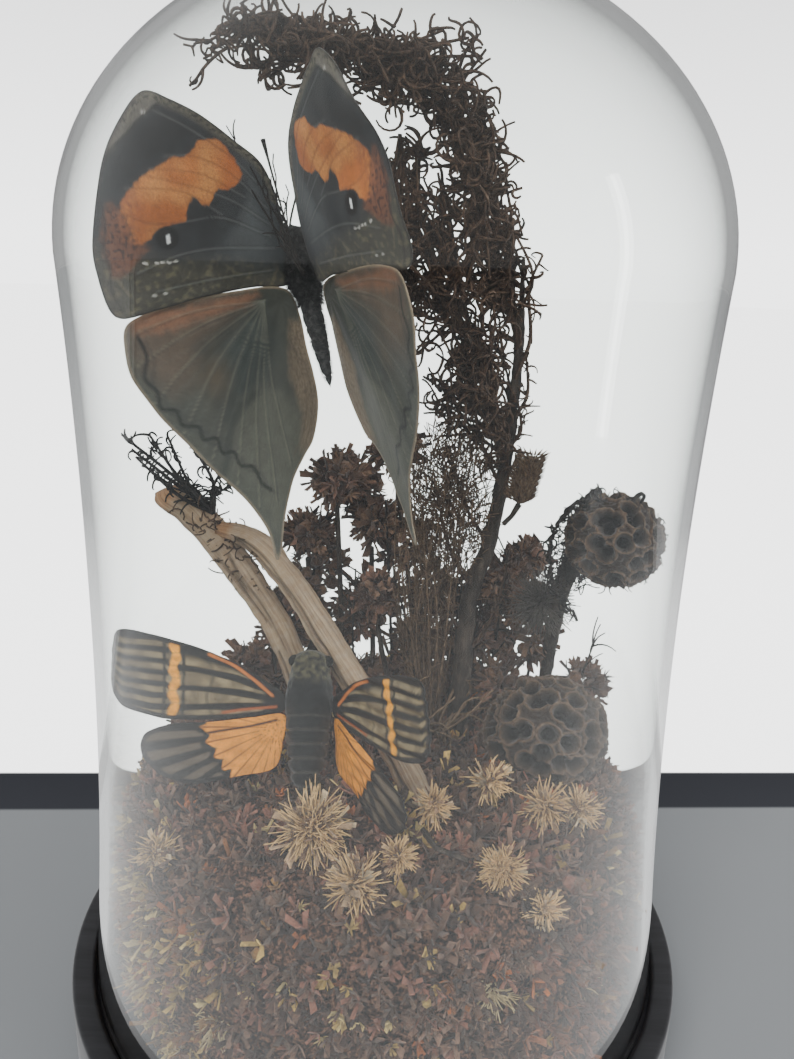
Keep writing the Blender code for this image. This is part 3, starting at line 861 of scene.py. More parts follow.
def wing_sheet(name, where, outline, heart, rings, around, ripple, paint, under):
    root, out, up, through_wing = where
    edge = through(outline, 12, closed=True) - heart
    angle = np.unwrap(np.arctan2(edge[:, 1], edge[:, 0]))
    if angle[-1] < angle[0]:
        edge, angle = edge[::-1], angle[::-1]
    keep = np.r_[True, np.diff(np.maximum.accumulate(angle)) > 1e-6]
    angle, radius = angle[keep], np.hypot(edge[keep, 0], edge[keep, 1])
    angle = np.r_[angle, angle[0] + 2 * math.pi]
    radius = np.r_[radius, radius[0]]
    # Equal steps along the edge, so that long sides get their share of points.
    rim = np.stack([radius * np.cos(angle), radius * np.sin(angle)], 1)
    walked = np.r_[0, np.cumsum(np.linalg.norm(np.diff(rim, axis=0), axis=1))]
    let_go()
    bpy.ops.mesh.primitive_grid_add(x_subdivisions=around, y_subdivisions=rings, size=1)
    sheet = named(name)
    g = points_of(sheet)[:, :2] + 0.5
    a = np.interp(g[:, 0] * walked[-1], walked, angle)
    r = np.interp(a, angle, radius) * g[:, 1] ** 0.8
    flat = np.stack([heart[0] + r * np.cos(a), heart[1] + r * np.sin(a)], 1)
    span = np.hypot(flat[:, 0], flat[:, 1])
    away = ripple(flat[:, 0], flat[:, 1]) + 0.22 * wobble(np.c_[flat, 0 * span], 6.0, 7.0)
    p = root + flat[:, :1] * out + flat[:, 1:] * up + away[:, None] * through_wing
    move_points(sheet, p * MM)
    painted(sheet, paint(flat[:, 0], flat[:, 1]), "paint")
    painted(sheet, under(flat[:, 0], flat[:, 1]), "under")
    tidy_mesh(sheet, 2e-6)
    facing = sum((face.normal * face.area for face in sheet.data.polygons), Vector())
    if facing.y > 0:
        bpy.ops.object.mode_set(mode="EDIT")
        bpy.ops.mesh.select_all(action="SELECT")
        bpy.ops.mesh.flip_normals()
        bpy.ops.object.mode_set(mode="OBJECT")
    return sheet

def close_sheet(sheet, upper, lower, thickness):
    wear(sheet, upper)
    sheet.data.materials.append(lower)
    finish_with(sheet, "SOLIDIFY", thickness=thickness * MM, offset=0.0, material_offset=1)
    return smooth(sheet)

def make_wings(family, slot_name, nodes, places, kinds, rings, around, skins):
    # kinds holds the outline, heart, ripple and two paints of a forewing and a
    # hindwing; skins holds the upper and lower finish and the thickness.
    for name, where in places.items():
        side, kind = name.split("_")
        outline, heart, ripple, paint, under = kinds[kind]
        sheet = wing_sheet(f"{family}_{name}", frame_of(*where), outline, np.array(heart), rings,
                           around, ripple, paint, under)
        close_sheet(sheet, *skins)
        hand_in(sheet, slot_name, *[n for n in nodes if side in n and kind in n])

# %% [markdown]
# Painting needs three brushes: a filled shape with a soft edge, a line of a
# certain width, and a speckle. Each returns how much paint lands on a point.

# %% Paint brushes
def patch(u, v, shape, soft=0.5, rough=0.0, grain=1.5):
    shape = np.asarray(shape, float)
    q = np.c_[u, v, 0 * u]
    if rough:
        u = u + rough * wobble(q, grain, 11.0)
        v = v + rough * wobble(q, grain, 23.0)
    inside = np.zeros(len(u), bool)
    for (x0, y0), (x1, y1) in zip(shape, np.roll(shape, -1, axis=0)):
        inside ^= ((y0 > v) != (y1 > v)) & (u < (x1 - x0) * (v - y0) / (y1 - y0 + 1e-12) + x0)
    gap = gap_to(u, v, zip(shape, np.roll(shape, -1, axis=0)))
    return np.clip(0.5 + np.where(inside, gap, -gap) / soft, 0, 1)

def to_segment(u, v, x0, y0, x1, y1):
    dx, dy = x1 - x0, y1 - y0
    t = np.clip(((u - x0) * dx + (v - y0) * dy) / (dx * dx + dy * dy + 1e-12), 0, 1)
    return np.hypot(u - x0 - t * dx, v - y0 - t * dy)

def gap_to(u, v, segments):
    # How far each point is from the nearest segment.
    gap = np.full(len(u), 1e9)
    for (x0, y0), (x1, y1) in segments:
        gap = np.minimum(gap, to_segment(u, v, x0, y0, x1, y1))
    return gap

def line(u, v, points, width, soft=0.25, smooth_it=True):
    path = through(np.c_[np.asarray(points, float), np.zeros(len(points))], 5)[:, :2] \
        if smooth_it and len(points) > 2 else np.asarray(points, float)
    return np.clip((width / 2 + soft - gap_to(u, v, zip(path, path[1:]))) / soft, 0, 1)

def speckle(u, v, size, seed, low=0.1, high=0.4):
    n = wobble(np.c_[u, v, 0 * u], size, seed)
    return np.clip((n - low) / (high - low), 0, 1)

def tone(*rgb):
    return np.array(swatch(*rgb)[:3])

def lay(base, mask, colour):
    return base + (np.asarray(colour) - base) * mask[:, None]

def coats(base, u, v, *layers):
    # Soft patches laid over each other: amount, shape, softness, roughness, colour.
    for amount, shape, soft, rough, colour in layers:
        base = lay(base, amount * patch(u, v, shape, soft, rough), tone(*colour))
    return base

def outline_gap(u, v, outline):
    shape = through(outline, 8, closed=True)
    return gap_to(u, v, zip(shape, np.roll(shape, -1, axis=0)))

# %% [markdown]
# The butterfly's forewing is slate grey with a broad orange band, a dark eye
# spot with a white centre, a grey-brown tip behind a thin dark curve, and
# rust-coloured speckles where the band meets the outer edge.

# %% Butterfly forewing
FORE = [(2.2, -6.6), (2.0, 0), (4.4, 10), (9.1, 19), (15.9, 23.4), (24.2, 27.3), (32, 29.5),
        (37.9, 29.8), (43.5, 22.3), (47.2, 12.8), (49.1, 3.3), (48.8, -4.3), (45.6, -13.5),
        (36, -12.2), (25.3, -9.6), (12, -7.4)]
BAND = [(25.1, 22.4), (20.8, 23.3), (18.4, 22.3), (15.2, 18.4), (14.3, 16.7), (16, 14.4), (18, 13),
        (20.6, 13.1), (21.8, 11.8), (23, 9.4), (25, 10), (27, 11.2), (28.2, 9.2), (28.7, 6),
        (31.7, 5.3), (34.6, 4.4), (36.4, 2.6), (38.5, 1), (40.8, 0.9), (43, 1.6), (43.9, 6.2),
        (43.2, 8.8), (41.2, 11.3), (38.5, 13.8), (35.8, 15.5), (32.6, 17.5), (31, 18.4),
        (28.4, 18.6), (27, 19.8)]
FORE_VEINS = [[(40, -4.8), (29.8, -0.8), (20, 0.9), (6, 1.4)],
              [(36, -8.4), (21.5, -5.6), (6, -3.4)],
              [(43.7, 7), (36.6, 5.2), (28.5, 6.1), (19.3, 7.3), (7, 4)],
              [(42, 11.6), (31.5, 12.1), (26.6, 11.1), (19.6, 8)],
              [(38, 14.4), (30, 13.6), (24.7, 12.8), (16, 10.6), (7, 6.5)],
              [(36.4, 15.8), (28.5, 16.1), (22.8, 15.4), (14, 12)],
              [(33, 18.6), (26, 19.2), (18, 17), (8, 10)],
              [(36, 27), (27, 24.4), (17, 20), (8, 13)]]

def paint_fore(u, v):
    q = np.c_[u, v, 0 * u]
    base = np.tile(tone(44, 47, 50), (len(u), 1))
    sheen = np.exp(-((u - 13) ** 2 / 60 + (v - 8) ** 2 / 90))
    base = lay(base, 0.75 * sheen, tone(92, 96, 98))
    low = np.clip((-1.5 - v + 0.08 * u) / 5, 0, 1)
    base = lay(base, 0.75 * low, tone(74, 71, 61))
    base = lay(base, 0.5 * speckle(u, v, 1.1, 3.0) * low, tone(116, 108, 84))
    tip = [(32.5, 29.8), (37.9, 25.4), (41.6, 21.4), (45.4, 17), (48, 11), (60, 8), (60, 40),
           (30, 40)]
    base = lay(base, 0.85 * patch(u, v, tip, 1.0, 0.5), tone(112, 106, 96))
    base = lay(base, 0.5 * patch(u, v, tip, 1.0) * speckle(u, v, 0.8, 9.0), tone(78, 74, 70))
    dark = [(14, 21), (26, 24.6), (33, 28), (38, 24), (43, 18.5), (46, 12), (43, 10.5), (38, 16),
            (31, 20), (24, 25), (18, 23)]
    teeth = [(19, 13.4), (24, 11.5), (29, 10.5), (30, 5), (36, 3), (37, -1.5), (30, -2.2),
             (21, 0.5), (15.5, 6.0), (13, 13), (14, 16)]
    base = coats(base, u, v, (0.75, dark, 2.0, 0.8, (34, 34, 36)),
                 (0.7, teeth, 2.2, 0.6, (36, 38, 41)))
    band = patch(u, v, BAND, 0.45, 0.35, 1.2)
    orange = tone(176, 98, 36) + (tone(200, 132, 66) - tone(176, 98, 36)) \
        * np.clip(0.5 + 1.3 * wobble(q, 5.0, 2.0), 0, 1)[:, None]
    orange = lay(orange, 0.75 * np.clip((22 - u + 0.4 * (v - 18)) / 8, 0, 1), tone(170, 84, 36))
    orange = lay(orange, 0.8 * np.clip((u - 37) / 5, 0, 1) * speckle(u, v, 0.9, 5.0, -0.2, 0.3),
                 tone(142, 76, 46))
    orange = lay(orange, 0.35 * speckle(u, v, 0.6, 15.0, 0.15, 0.4), tone(150, 88, 44))
    base = lay(base, band, orange)
    rust = [(43.4, 8), (46.4, 8), (47.4, 2), (46.6, -2), (45, -5.4), (42.2, -4.6), (39.4, -2),
            (37, 0.2), (40, 1.4)]
    base = lay(base, 0.85 * patch(u, v, rust, 1.6, 0.8, 1.0), tone(118, 72, 50))
    base = lay(base, patch(u, v, rust, 1.6) * speckle(u, v, 0.8, 19.0, 0.0, 0.3), tone(66, 44, 38))
    for vein in FORE_VEINS:
        mark = line(u, v, vein, 0.16, 0.3)
        base = lay(base, 0.5 * mark * band, tone(120, 70, 36))
        base = lay(base, 0.3 * mark * (1 - band), tone(118, 120, 118))
        for side in (-0.45, 0.45):
            shadow = line(u, v - side, vein, 0.1, 0.3)
            base = lay(base, 0.3 * shadow * (1 - band), tone(26, 28, 30))
    eye = np.hypot((u - 32.7) / 3.1, (v - 2.5) / 2.7)
    base = lay(base, np.clip((1.0 - eye) / 0.22, 0, 1), tone(14, 13, 14))
    pupil = np.hypot((u - 32.55) / 0.62, (v - 2.3) / 1.2)
    base = lay(base, np.clip((1.0 - pupil) / 0.3, 0, 1), tone(238, 240, 240))
    for a, b, c in ((38, -2.8, .5), (35.4, -2.6, .4), (34.2, -2.5, .3), (32.6, -2.5, .5),
                    (31, -2.2, .35), (36.6, -9.2, .3), (34.1, -8.8, .25), (37.5, 26.2, .5)):
        dot = np.hypot((u - a) / (c + 0.3), (v - b - 0.1 * (u - a)) / 0.32)
        base = lay(base, 0.85 * np.clip((1 - dot) / 0.4, 0, 1), tone(206, 204, 196))
    curve = line(u, v, [(31.8, 30), (37.9, 25.2), (41.6, 21.2), (45.4, 16.9), (48.6, 9)], 0.35, 0.3)
    base = lay(base, 0.8 * curve, tone(26, 24, 24))
    wave = line(u, v, [(47.4, 9), (46.6, 4), (47, 0), (45.8, -4), (46, -8), (44, -12.5)], 0.25, 0.4)
    base = lay(base, 0.6 * wave, tone(34, 30, 30))
    gap = outline_gap(u, v, FORE)
    costa = np.clip((2.2 - gap) / 1.2, 0, 1) * (v > 9 + 0.35 * u)
    base = lay(base, 0.7 * costa, tone(112, 106, 88))
    base = lay(base, costa * speckle(u, v, 0.7, 31.0, -0.1, 0.25), tone(52, 48, 44))
    base = lay(base, 0.75 * np.clip((0.55 - gap) / 0.4, 0, 1), tone(40, 37, 36))
    grain = 1 + 0.16 * wobble(q, 0.55, 3.0) + 0.14 * wobble(q, 2.6, 6.0)
    return base * grain[:, None]

# %% [markdown]
# The hindwing fades from brown at the front edge through green-grey to a
# granular tan edge by the body, with veins fanning out to a scalloped dark
# line, and ends in a narrow tail.

# %% Butterfly hindwing
HIND = [(2.4, -3.2), (7, -0.2), (20, -1.6), (32, -3.8), (40.6, -6.6), (44, -9.1), (44.6, -13.6),
        (43.9, -18.9), (40.9, -24.3), (38.1, -28.8), (33.1, -34.8), (27.9, -40.9), (21.2, -47.6),
        (17.5, -52.8), (14.9, -58.1), (13.6, -64.5), (12, -62), (10.7, -55), (7.6, -45.7),
        (4, -40.1), (0.6, -35.7), (-1.6, -26.1), (0.4, -14)]
HIND_SCALLOPS = [(41.6, -11), (40.2, -15), (41, -19.7), (38.6, -22.6), (38.2, -26.2), (35, -27),
                 (34, -30.2), (30.4, -31), (29.6, -33.8), (26.4, -33.9), (25.2, -37.2),
                 (22.2, -37.4), (20.8, -40.6), (17.6, -41.4), (15.9, -45.4), (13.8, -47.2)]

def paint_hind(u, v):
    q = np.c_[u, v, 0 * u]
    brown = [(44, -5), (14, -2.6), (18, -10), (27, -14), (30, -20), (35, -23), (44, -18)]
    rust = [(44, -6), (31, -5), (12, -1.6), (14, -4.4), (27.5, -7.2), (34, -9.6), (42, -10.4)]
    green = [(11, -4), (21, -9), (28, -14), (27, -23), (23, -29), (16, -25), (9, -14)]
    tail = [(19, -26), (13, -23), (7, -26), (2, -32), (3, -40), (8, -48), (13, -58), (17, -50),
            (24, -42), (22, -32)]
    outer = [(45, -12), (40, -20), (34, -29), (25, -38), (16, -46), (14, -66), (60, -66), (60, -12)]
    base = coats(np.tile(tone(62, 63, 56), (len(u), 1)), u, v,
                 (0.8, brown, 7.0, 1.0, (92, 76, 62)), (0.85, rust, 2.2, 0.8, (124, 84, 60)),
                 (0.8, green, 6.0, 1.0, (42, 50, 48)))
    base = lay(base, 0.6 * np.exp(-((u - 25) ** 2 / 14 + (v + 20) ** 2 / 30)), tone(84, 68, 46))
    base = coats(base, u, v, (0.7, tail, 4.0, 0.8, (84, 84, 73)),
                 (0.6, outer, 3.0, 0.6, (66, 68, 59)))
    inner = patch(u, v, [(4.4, -8), (6.2, -20), (3.6, -30), (5, -39), (-6, -36), (-6, -8)],
                  2.0, 0.6)
    base = lay(base, 0.85 * inner, tone(122, 106, 86))
    base = lay(base, 0.6 * inner * speckle(u, v, 0.6, 41.0, -0.05, 0.25), tone(74, 62, 48))
    wedge = line(u, v, [(15.3, -24.6), (19.8, -28), (22.6, -32.5), (23.8, -37.7), (25.2, -42)],
                 0.9, 0.9)
    base = lay(base, 0.55 * wedge, tone(40, 44, 40))
    hub = (10.5, -3.4)
    for k, end in enumerate([(42, -10), (42.5, -17), (39.5, -25), (34, -32), (28, -39), (22, -45),
                             (17, -51), (12.5, -50), (8, -42)]):
        bend = ((hub[0] + end[0]) / 2 + 1.5, (hub[1] + end[1]) / 2 + 1.2)
        vein = line(u, v, [hub, bend, end], 0.14, 0.28)
        base = lay(base, 0.35 * vein, tone(120, 116, 100))
        # Beside each pale vein a dark copy, set off to one side, is painted as the vein's shadow.
        base = lay(base, 0.35 * line(u + 0.4, v + 0.3, [hub, bend, end], 0.1, 0.3),
                   tone(38, 44, 42))
    for k in range(26):
        angle = -0.14 - 0.056 * k
        end = (hub[0] + 44 * math.cos(angle), hub[1] + 44 * math.sin(angle))
        base = lay(base, 0.08 * line(u, v, [hub, end], 0.05, 0.3, False),
                   tone(30, 40, 40) if k % 2 else tone(120, 128, 118))
    for back in (1.6, 3.2):
        fold = line(u - back, v, [(1.6, -12), (-1.4, -24), (0.4, -34), (4, -40)], 0.14, 0.3)
        base = lay(base, 0.45 * fold, tone(84, 72, 58))
    base = lay(base, 0.9 * line(u, v, HIND_SCALLOPS, 0.5, 0.35), tone(14, 14, 14))
    base = lay(base, 0.4 * line(u + 1.6, v + 1.3, HIND_SCALLOPS, 0.2, 0.5), tone(40, 42, 40))
    gap = outline_gap(u, v, HIND)
    base = lay(base, 0.6 * np.clip((0.7 - gap) / 0.5, 0, 1), tone(152, 134, 110))
    grain = 1 + 0.2 * wobble(q, 0.5, 13.0) + 0.14 * wobble(q, 2.2, 16.0)
    return base * grain[:, None]

# %% [markdown]
# Its underside is a dead leaf: brown, with a midrib across both wings, side
# ribs, and mouldy spots.

# %% Leaf underside
def paint_leaf(u, v):
    q = np.c_[u, v, 0 * u]
    base = np.tile(tone(132, 100, 68), (len(u), 1))
    base = lay(base, np.clip(0.5 + 1.6 * wobble(q, 9.0, 21.0), 0, 1), tone(158, 128, 92))
    base = lay(base, 0.5 * speckle(u, v, 2.2, 27.0, 0.15, 0.5), tone(88, 64, 44))
    base = lay(base, 0.7 * line(u, v, [(40, 27), (25, 10), (14, -12), (13, -60)], 0.5, 0.5),
               tone(74, 50, 34))
    for k in range(6):
        a = (14 + 4 * k, -30 + 9 * k)
        base = lay(base, 0.4 * line(u, v, [a, (a[0] + 17, a[1] + 4)], 0.2, 0.5), tone(84, 60, 40))
        base = lay(base, 0.4 * line(u, v, [a, (a[0] - 12, a[1] + 9)], 0.2, 0.5), tone(84, 60, 40))
    grain = 1 + 0.2 * wobble(q, 0.6, 33.0)
    return base * grain[:, None]

# %% [markdown]
# Scales make a wing look like fine velvet: a grainy bump far smaller than a
# millimetre, a rough surface and a little sheen.

# %% Wing finishes
def wing_finish(name, layer, gloss, sheen):
    mat = finish(name, gloss, Sheen_Weight=sheen, Sheen_Roughness=0.4)
    where = place(mat)
    scales = cloud(mat, where, 3200.0, 3.0, 0.6)
    shade = ramp(mat, scales, (0.3, (0.78, 0.78, 0.78, 1)), (0.7, (1.2, 1.2, 1.2, 1)))
    colour_in(mat, blend(mat, 1.0, paint_colour(mat, layer), shade, "MULTIPLY"))
    rough_in(mat, scales, gloss - 0.12, gloss + 0.15)
    relief(mat, scales, 0.00008, 0.6)
    return mat

VELVET = wing_finish("butterfly_scales", "paint", 0.6, 0.12)
LEAF = wing_finish("leaf_underside", "under", 0.72, 0.05)
CICADA_WING = wing_finish("cicada_wing", "paint", 0.42, 0.0)
CICADA_UNDER = wing_finish("cicada_wing_under", "under", 0.48, 0.0)

# %% [markdown]
# The wings stand in a V, the right one turned further from the front. Each is
# placed by a point at its root, the way it points out and the way it points up,
# and its sheet has shallow ripples like a dried wing.

# %% Butterfly wings
def fore_ripple(u, v):
    return 0.5 * np.sin(0.32 * v + 0.05 * u) * np.clip(u / 20, 0, 1) - 0.0012 * (u - 10) ** 2

def hind_ripple(u, v):
    angle = np.arctan2(v + 3.4, u - 6)
    reach = np.hypot(v + 3.4, u - 6)
    return 0.35 * np.sin(9 * angle) * np.clip(reach / 25, 0, 1) + 0.0010 * (reach - 8) ** 2

make_wings("leaf", "leaf_wing", [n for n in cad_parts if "wing" in n and "cicada" not in n],
           {"left_forewing": ((-24, 3, 204), (-.754, -.657, 0), (.013, -.017, 1)),
            "left_hindwing": ((-22.5, 2.6, 197), (-.787, -.617, 0), (-.128, .163, .978)),
            "right_forewing": ((-21.3, 1.2, 204), (.403, -.883, .242), (-.35, .096, .932)),
            "right_hindwing": ((-18.6, 1.6, 197), (.398, -.872, .283), (-.35, .141, .926))},
           {"forewing": (FORE, (22.0, 6.0), fore_ripple, paint_fore, paint_leaf),
            "hindwing": (HIND, (7.0, -12.0), hind_ripple, paint_hind, paint_leaf)},
           66, 270, (VELVET, LEAF, 0.28))

# %% [markdown]
# The cicada's wings are black with long tan cells like stained glass, a bar of
# orange beads across the forewing, and an orange fan at the root of the
# hindwing.

# %% Cicada wing paint
CICADA_FORE = [(0.2, -3.2), (0.2, 1), (3.4, 3.4), (11.6, 8.4), (21.8, 12.4), (32, 15.2),
               (40.6, 16.4), (42.4, 13), (42.6, 9), (42.4, 2.6), (39.4, -2), (32, -4.6),
               (25.8, -5.4), (12, -5)]
CICADA_HIND = [(0.2, -2), (8, -2.6), (18.7, -3.8), (26.4, -4.1), (32.8, -5.9), (34.7, -8.5),
               (34, -12.3), (29, -16.9), (21.3, -18.7), (11, -16.8), (2.4, -14.9), (0.4, -8.4)]

def cells(share, count, wall):
    step = share * count
    return np.clip((np.abs(step - np.floor(step) - 0.5) - (0.5 - wall)) / 0.08, 0, 1)

def paint_cicada_fore(u, v):
    q = np.c_[u, v, 0 * u]
    tan = lay(np.tile(tone(104, 90, 66), (len(u), 1)), speckle(u, v, 2.4, 3.0, -0.3, 0.4),
              tone(140, 124, 92))
    black = tone(24, 21, 20)
    top = np.interp(u, [0, 11.6, 21.8, 32, 40.6, 43], [1, 8.4, 12.4, 15.2, 16.4, 16])
    low = np.interp(u, [0, 12, 25.8, 32, 39.4, 43], [-3.2, -5, -5.4, -4.6, -2, 3])
    share = (v - low) / (top - low)
    outer = u > 28.4
    veins_out = cells(share + 0.006 * (u - 28), 7.0, 0.3)
    veins_in = cells(share * 0.96 + 0.004 * u, 4.0, 0.2 + 0.014 * np.clip(20 - u, 0, 12))
    veins_in = np.maximum(veins_in, np.clip((share - 0.8) / 0.08, 0, 1))
    base = lay(tan, np.where(outer, veins_out, veins_in), black)
    gap = outline_gap(u, v, CICADA_FORE)
    base = lay(base, np.clip((1.35 - gap) / 0.35, 0, 1), black)
    base = lay(base, np.clip((6.5 - u) / 2.0, 0, 1), black)
    cross = line(u, v, [(21, 12.4), (17.5, 6), (19, 0), (17, -5)], 0.5, 0.3)
    base = lay(base, 0.5 * cross * (gap > 1), black)
    for edge in (24.6, 29.2):
        base = lay(base, line(u, v, [(edge + 0.5, 15), (edge, 4), (edge + 0.2, -7)], 0.5, 0.3),
                   black)
    middle = 26.9 + 0.35 * np.sin(v * 1.1)
    half = 0.95 + 0.4 * np.abs(np.sin((v + 4.5) * 1.02))
    bead = np.clip((half - np.abs(u - middle)) / 0.3, 0, 1) * np.clip((gap - 0.7) / 0.4, 0, 1)
    bead_gap = np.clip((0.2 - np.abs(np.sin((v + 4.5) * 1.02))) / 0.15, 0, 1)
    glow = tone(240, 158, 8) * (1 + 0.25 * wobble(q, 1.1, 4.0))[:, None]
    base = lay(base, bead * (1 - 0.4 * bead_gap), glow)
    base = lay(base, line(u, v, [(3, 0.6), (8, 4.9), (13, 8.2), (18.5, 10.6)], 0.35, 0.35),
               tone(188, 104, 30))
    base = lay(base, line(u, v, [(2, -2.2), (9, -2.8), (15, -3.6)], 0.3, 0.35), tone(150, 74, 26))
    return base * (1 + 0.14 * wobble(q, 0.5, 8.0))[:, None]

def paint_cicada_hind(u, v):
    q = np.c_[u, v, 0 * u]
    angle = np.degrees(np.arctan2(v + 5.0, u - 2.0))
    reach = np.hypot(v + 5.0, u - 2.0)
    grey = np.tile(tone(90, 79, 66), (len(u), 1))
    black = tone(24, 21, 20)
    stripes = cells((angle + 62) / 62, 7.0, 0.3)
    base = lay(grey, stripes, black)
    gap = outline_gap(u, v, CICADA_HIND)
    base = lay(base, np.clip((1.3 - gap) / 0.35, 0, 1), black)
    rim = 16.0 + 1.6 * (2 * np.abs(((angle + 100) / 12.5) % 1 - 0.5) - 0.5) \
        + 0.8 * wobble(q, 1.6, 2.0) \
        + 2.0 * np.clip((angle + 25) / 25, 0, 1)
    fan = np.clip((rim - reach) / 0.4, 0, 1)
    base = lay(base, np.clip((rim + 1.6 - reach) / 0.5, 0, 1), black)
    glow = tone(226, 142, 22) * (1 + 0.3 * wobble(q, 2.0, 14.0))[:, None]
    ribs = cells((angle + 100) / 100, 8.0, 0.1)
    base = lay(base, fan, glow)
    base = lay(base, 0.85 * fan * ribs, tone(84, 36, 8))
    base = lay(base, fan * line(u, v, [(2, -3.2), (10, -5), (19, -6.4)], 0.3, 0.3),
               tone(60, 26, 10))
    return base * (1 + 0.14 * wobble(q, 0.5, 9.0))[:, None]

def cicada_ripple(u, v):
    return 0.22 * np.sin(1.9 * v - 0.1 * u) * np.clip(u / 16, 0, 1) + 0.0016 * u**2 * 0.4

make_wings("cicada", "striped_wing", [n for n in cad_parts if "wing" in n and "cicada" in n],
           {"left_forewing": ((-24.2, -19.6, 99), (-.98, -.12, .03), (.05, .3, .95)),
            "left_hindwing": ((-23.8, -20.4, 97), (-.98, -.1, .02), (.02, .36, .93)),
            "right_forewing": ((-12, -20.2, 98), (.55, -.78, .18), (-.16, .18, .97)),
            "right_hindwing": ((-11.3, -21.6, 97), (.52, -.83, .02), (-.1, .2, .97))},
           {"forewing": (CICADA_FORE, (20.0, 3.0), cicada_ripple, paint_cicada_fore,
                         paint_cicada_fore),
            "hindwing": (CICADA_HIND, (16.0, -10.0), cicada_ripple, paint_cicada_hind,
                         paint_cicada_hind)},
           50, 200, (CICADA_WING, CICADA_UNDER, 0.24))

# %% [markdown]
# ## The bodies
# Each body is a sphere drawn out to a spindle along its own line: head, neck,
# thorax and a ringed abdomen that ends in a point. Fur is many short spikes.

# %% Bodies
def spindle(name, start, end, profile, rings=0, ring_depth=0.0, lump=0.0, flat=1.0, fine=1):
    start, end = np.array(start, float), np.array(end, float)
    length = np.linalg.norm(end - start)
    along = (end - start) / length
    side = unit(np.cross(along, (0, 1, 0)))
    front = np.cross(side, along)
    let_go()
    bpy.ops.mesh.primitive_uv_sphere_add(segments=72 // fine, ring_count=160 // fine, radius=1.0)
    body = named(name)
    p = points_of(body)
    share = np.arccos(np.clip(p[:, 2], -1, 1)) / math.pi
    shape = through(np.c_[np.array(profile, float), np.zeros(len(profile))], 8)
    girth = np.interp(share, shape[:, 0], np.maximum(shape[:, 1], 0))
    if rings:
        tail = np.clip((share - 0.45) / 0.05, 0, 1)
        notch = np.clip(np.cos(share * rings * 2 * math.pi) - 0.55, 0, 1)
        girth -= ring_depth * tail * notch / 0.45
    spin = np.arctan2(p[:, 1], p[:, 0])
    q = start + (share * length)[:, None] * along + (girth * np.cos(spin))[:, None] * side \
        + (flat * girth * np.sin(spin))[:, None] * front
    if lump:
        away = unit_rows(q - start - (share * length)[:, None] * along)
        q += (lump * wobble(q, 1.6, 4.0))[:, None] * away
    move_points(body, q * MM)
    tidy_mesh(body)
    return smooth(body), (start, along, side, front, length, shape)

def spikes(name, roots, tips, thick, mat, slot_name, *nodes):
    # One thin three-sided spike per root, all in one mesh.
    roots, tips = np.asarray(roots, float), np.asarray(tips, float)
    out = unit_rows(tips - roots)
    side = unit_rows(np.cross(out, (0.35, 0.21, 0.91)))
    up = np.cross(out, side)
    corners = [roots + thick * (math.cos(a) * side + math.sin(a) * up)
               for a in (0, THIRD_TURN, 2 * THIRD_TURN)]
    points = np.stack(corners + [tips], 1).reshape(-1, 3)
    n = 4 * np.arange(len(roots))[:, None]
    faces = np.vstack([n + (0, 1, 3), n + (1, 2, 3), n + (2, 0, 3), n + (2, 1, 0)])
    obj = mesh_of(name, points, [], faces.tolist())
    wear(obj, mat)
    return hand_in(obj, slot_name, *nodes)

def fur_on(name, body, count, low, high, length, mat, slot_name):
    start, along, side, front, size, shape = body
    share = rng.uniform(low, high, count)
    spin = rng.uniform(0, 2 * math.pi, count)
    girth = np.interp(share, shape[:, 0], shape[:, 1])
    ring = np.cos(spin)[:, None] * side + np.sin(spin)[:, None] * front
    roots = start + (share * size)[:, None] * along + 0.94 * girth[:, None] * ring
    lean = 0.9 * ring + 0.75 * along + 0.35 * rng.normal(size=(count, 3))
    tips = roots + unit_rows(lean) * (length * rng.uniform(0.6, 1.2, count))[:, None]
    return spikes(name, roots, tips, 0.07, mat, slot_name)

DARK_FUR = crumbly("dark_fur", swatch(24, 23, 23), swatch(46, 45, 44), swatch(78, 77, 75))
DARK_SHELL = crumbly("dark_shell", swatch(10, 10, 10), swatch(22, 22, 21), swatch(48, 46, 38))
shader_of(DARK_SHELL).inputs["Coat Weight"].default_value = 0.25

CICADA_SHELL = dried_petal("cicada_shell", 900.0)
shader_of(CICADA_SHELL).inputs["Coat Weight"].default_value = 0.2

